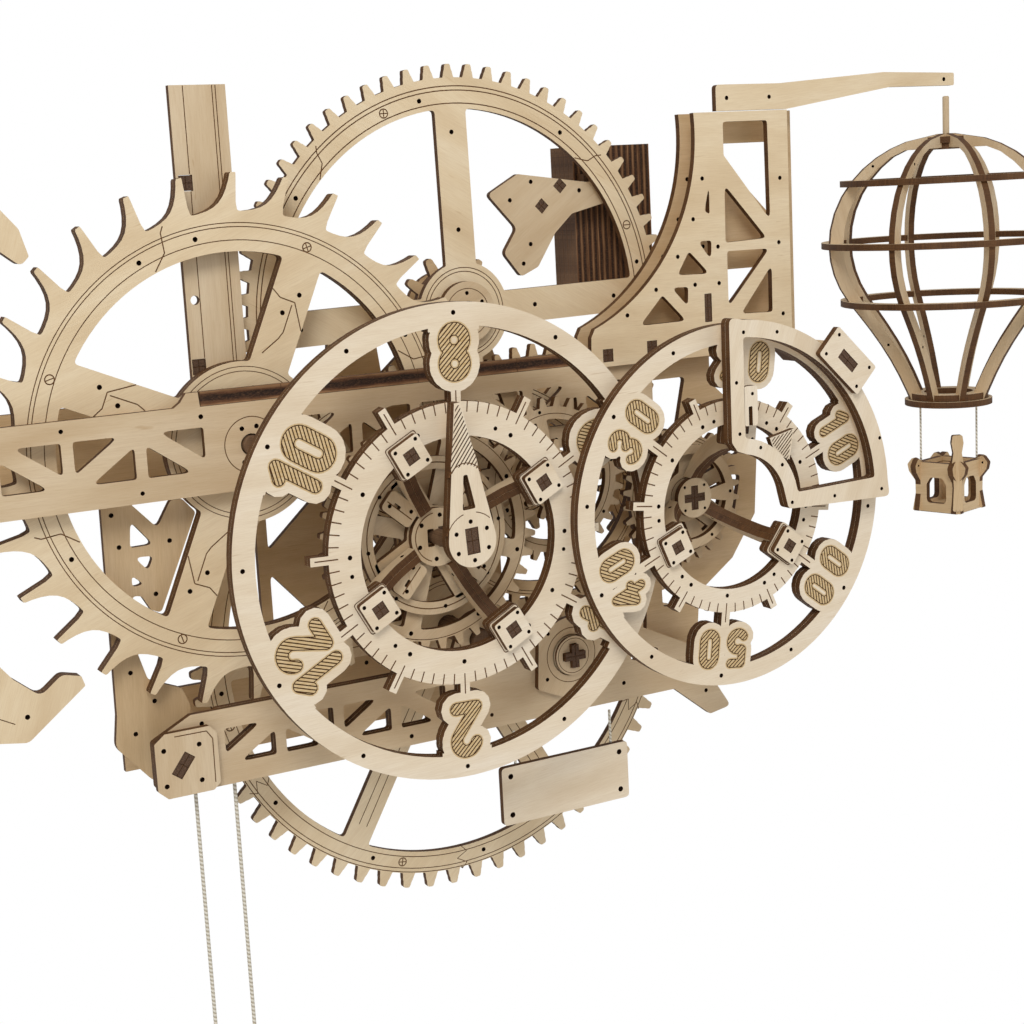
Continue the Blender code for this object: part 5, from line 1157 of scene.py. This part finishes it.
def notched(r1, r0, n=8, a0=22.5):
    return [(circle(r1, 96), 0), (circle(r0, 96), None)]


for nm, z in (("upper", 30.0), ("middle", 0.0), ("lower", -29.0)):
    r_ = max(envelope(z - 1.6), envelope(z + 1.6))
    P = notched(r_ + 1.6, r_ - 5.0) + [pin(pol(r_ - 1.0, 45 * k), 0.7, 10) for k in range(8)]
    put(f"balloon_hoop_{nm}", "balloon", P, (0, 3.0), grain=20, nodes=(f"balloon_ring_{nm}",), mtx=flat(bx, bd, bz + z + 1.5))
put("balloon_base_sheet", "balloon", notched(21.5, 9.0) + ring_line(19.5, 0.35, 60) + [pin(pol(15.5, 45 * k), 0.8) for k in range(8)], (0, 3.0), grain=10, mtx=flat(bx, bd, bz - 78.5))
put("balloon_base_rim", "balloon", notched(19.5, 12.0), (0, 3.0), grain=40, mtx=flat(bx, bd, bz - 75.2))
put("balloon_crown", "balloon", [(circle(10.0, 48), 0)] + ring_line(8.0, 0.35, 40), (0, 3.0), grain=30, mtx=flat(bx, bd, bz + 50.5))
put("balloon_crown_lower", "balloon", [(circle(8.2, 48), 0)], (0, 2.8), grain=30, mtx=flat(bx, bd, bz + 47.3))
mv = Matrix(((0.001, 0, 0, 0), (0, 0.001, 0, 0), (0, 0, 0.001, 0), (0, 0, 0, 1)))
m = mv.copy(); m.translation = at(bx, bd, bz + 50.3)
turned("balloon_hook_pin", "balloon", [(0, 0), (1.6, 0), (1.6, 19.2), (1.1, 19.7), (0, 19.7)], m, [FACE], 20)

# basket: a small square one, a corner to the front, with four openwork sides, a floor and a knob on the front corner
BK, BH, TB = 0.53, 10.6, 16.4
bask = [(x * BK, z) for x, z in ((-26, -135.5), (-24.5, -131.5), (-22.5, -126), (-23.0, -120), (-30.0, -115.5), (-31.5, -112.0), (-26.0, -108.5), (-18.0, -110.5), (18.0, -110.5), (26.0, -108.5), (31.5, -112.0), (30.0, -115.5), (23.0, -120), (22.5, -126), (24.5, -131.5), (26, -135.5))]
bask_r = [0.4, 1.6, 2, 2, 1.6, 1.2, 1.6, 2, 2, 1.6, 1.2, 1.6, 2, 2, 1.6, 0.4]
arch = rounded([(-5.6, -131.0), (5.6, -131.0), (5.6, -121.5), (3.4, -118.0), (-3.4, -118.0), (-5.6, -121.5)], [2.4, 2.4, 2, 2, 2, 2])
for k in range(4):
    a = math.radians(TB + 90 * k)
    P = [(rounded(bask, bask_r, 4), 0), (arch, None)] + lines([[(-11.5, -113.0), (11.5, -113.0)]], 0.4) + pins([(-13.8, -112.2), (13.8, -112.2)], 0.6)
    put(f"basket_side_{k + 1}", "balloon", P, (0, 3.0), mat="birch_rear", grain=5, nodes=("balloon_basket",) if k == 0 else (), mtx=upright(bx + BH * math.sin(a), bd - BH * math.cos(a), bz, TB + 90 * k))
put("basket_floor_sheet", "balloon", [(rounded(rect(0, 0, 22.6, 22.6), 0.8), 0)], (0, 3.4), mat="birch_rear", grain=5, mtx=flat(bx, bd, bz - 132.5, TB))
ka = TB + 225
fin_ = [(-2.6, -134.0), (2.6, -134.0), (2.0, -122), (2.4, -114), (2.9, -109.5), (2.1, -104.5), (3.0, -99.5), (2.4, -95.5), (-2.4, -95.5), (-3.0, -99.5), (-2.1, -104.5), (-2.9, -109.5), (-2.4, -114), (-2.0, -122)]
put("basket_knob_sheet", "balloon", [(rounded(fin_, 1.0), 0)], (0, 3.0), mat="birch_rear", grain=85, mtx=upright(bx + 16.4 * math.cos(math.radians(ka)), bd + 16.4 * math.sin(math.radians(ka)), bz, TB - 45))
tube("balloon_string_left_cord", "balloon", [(bx - 12.4, bd + 6.8, bz - 82.6 - k * 27.1 / 24) for k in range(25)], 0.5, CORD, 10, ("balloon_string_left",))
tube("balloon_string_right_cord", "balloon", [(bx + 12.4, bd - 6.8, bz - 82.6 - k * 27.1 / 24) for k in range(25)], 0.5, CORD, 10, ("balloon_string_right",))

# ================================================================ nameplate, left blank
P = [(rounded([(30.5, -139), (97, -139), (97, -112), (30.5, -112)], 2.0), 0)] + pins([(35, -116.5), (92.5, -116.5), (35, -134.5), (92.5, -134.5)], 1.3)
put("nameplate_sheet", "sign", P, (33.0, 36.0), mat="pale", grain=6, nodes=("nameplate",))
for nm, x in (("left", 38.5), ("right", 89.0)):
    tube(f"nameplate_loop_{nm}_cord", "sign", [(x, 34.5, -96.0 - k * 15.6 / 16) for k in range(17)], 0.6, CORD, 10, (f"nameplate_loop_{nm}",))

# ================================================================ weight and its cords
WX, WD, W_TOP = -97.8, 47.0, -232.0
m = mv.copy(); m.translation = at(WX, WD, W_TOP - 60.3)
prof_w = [(0, 0), (18.6, 0), (20, 1.4), (20, 9), (19.2, 9.5), (19.2, 10.3), (20, 10.8), (20, 49), (19.2, 49.5), (19.2, 50.3), (20, 50.8), (20, 58.4), (18.4, 60), (0, 60)]
turned("weight_turned", "driving_weight", prof_w, m, [FACE], 56, ("weight",))
for nm, x in (("left", -106.4), ("right", -89.2)):
    o_, path_ = tube(f"weight_cord_{nm}_strand", "frame", [(x, WD, -95.0 - k * 137.0 / 90) for k in range(91)], 0.8, CORD, 12, (f"weight_cord_{nm}",))
    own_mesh(o_)
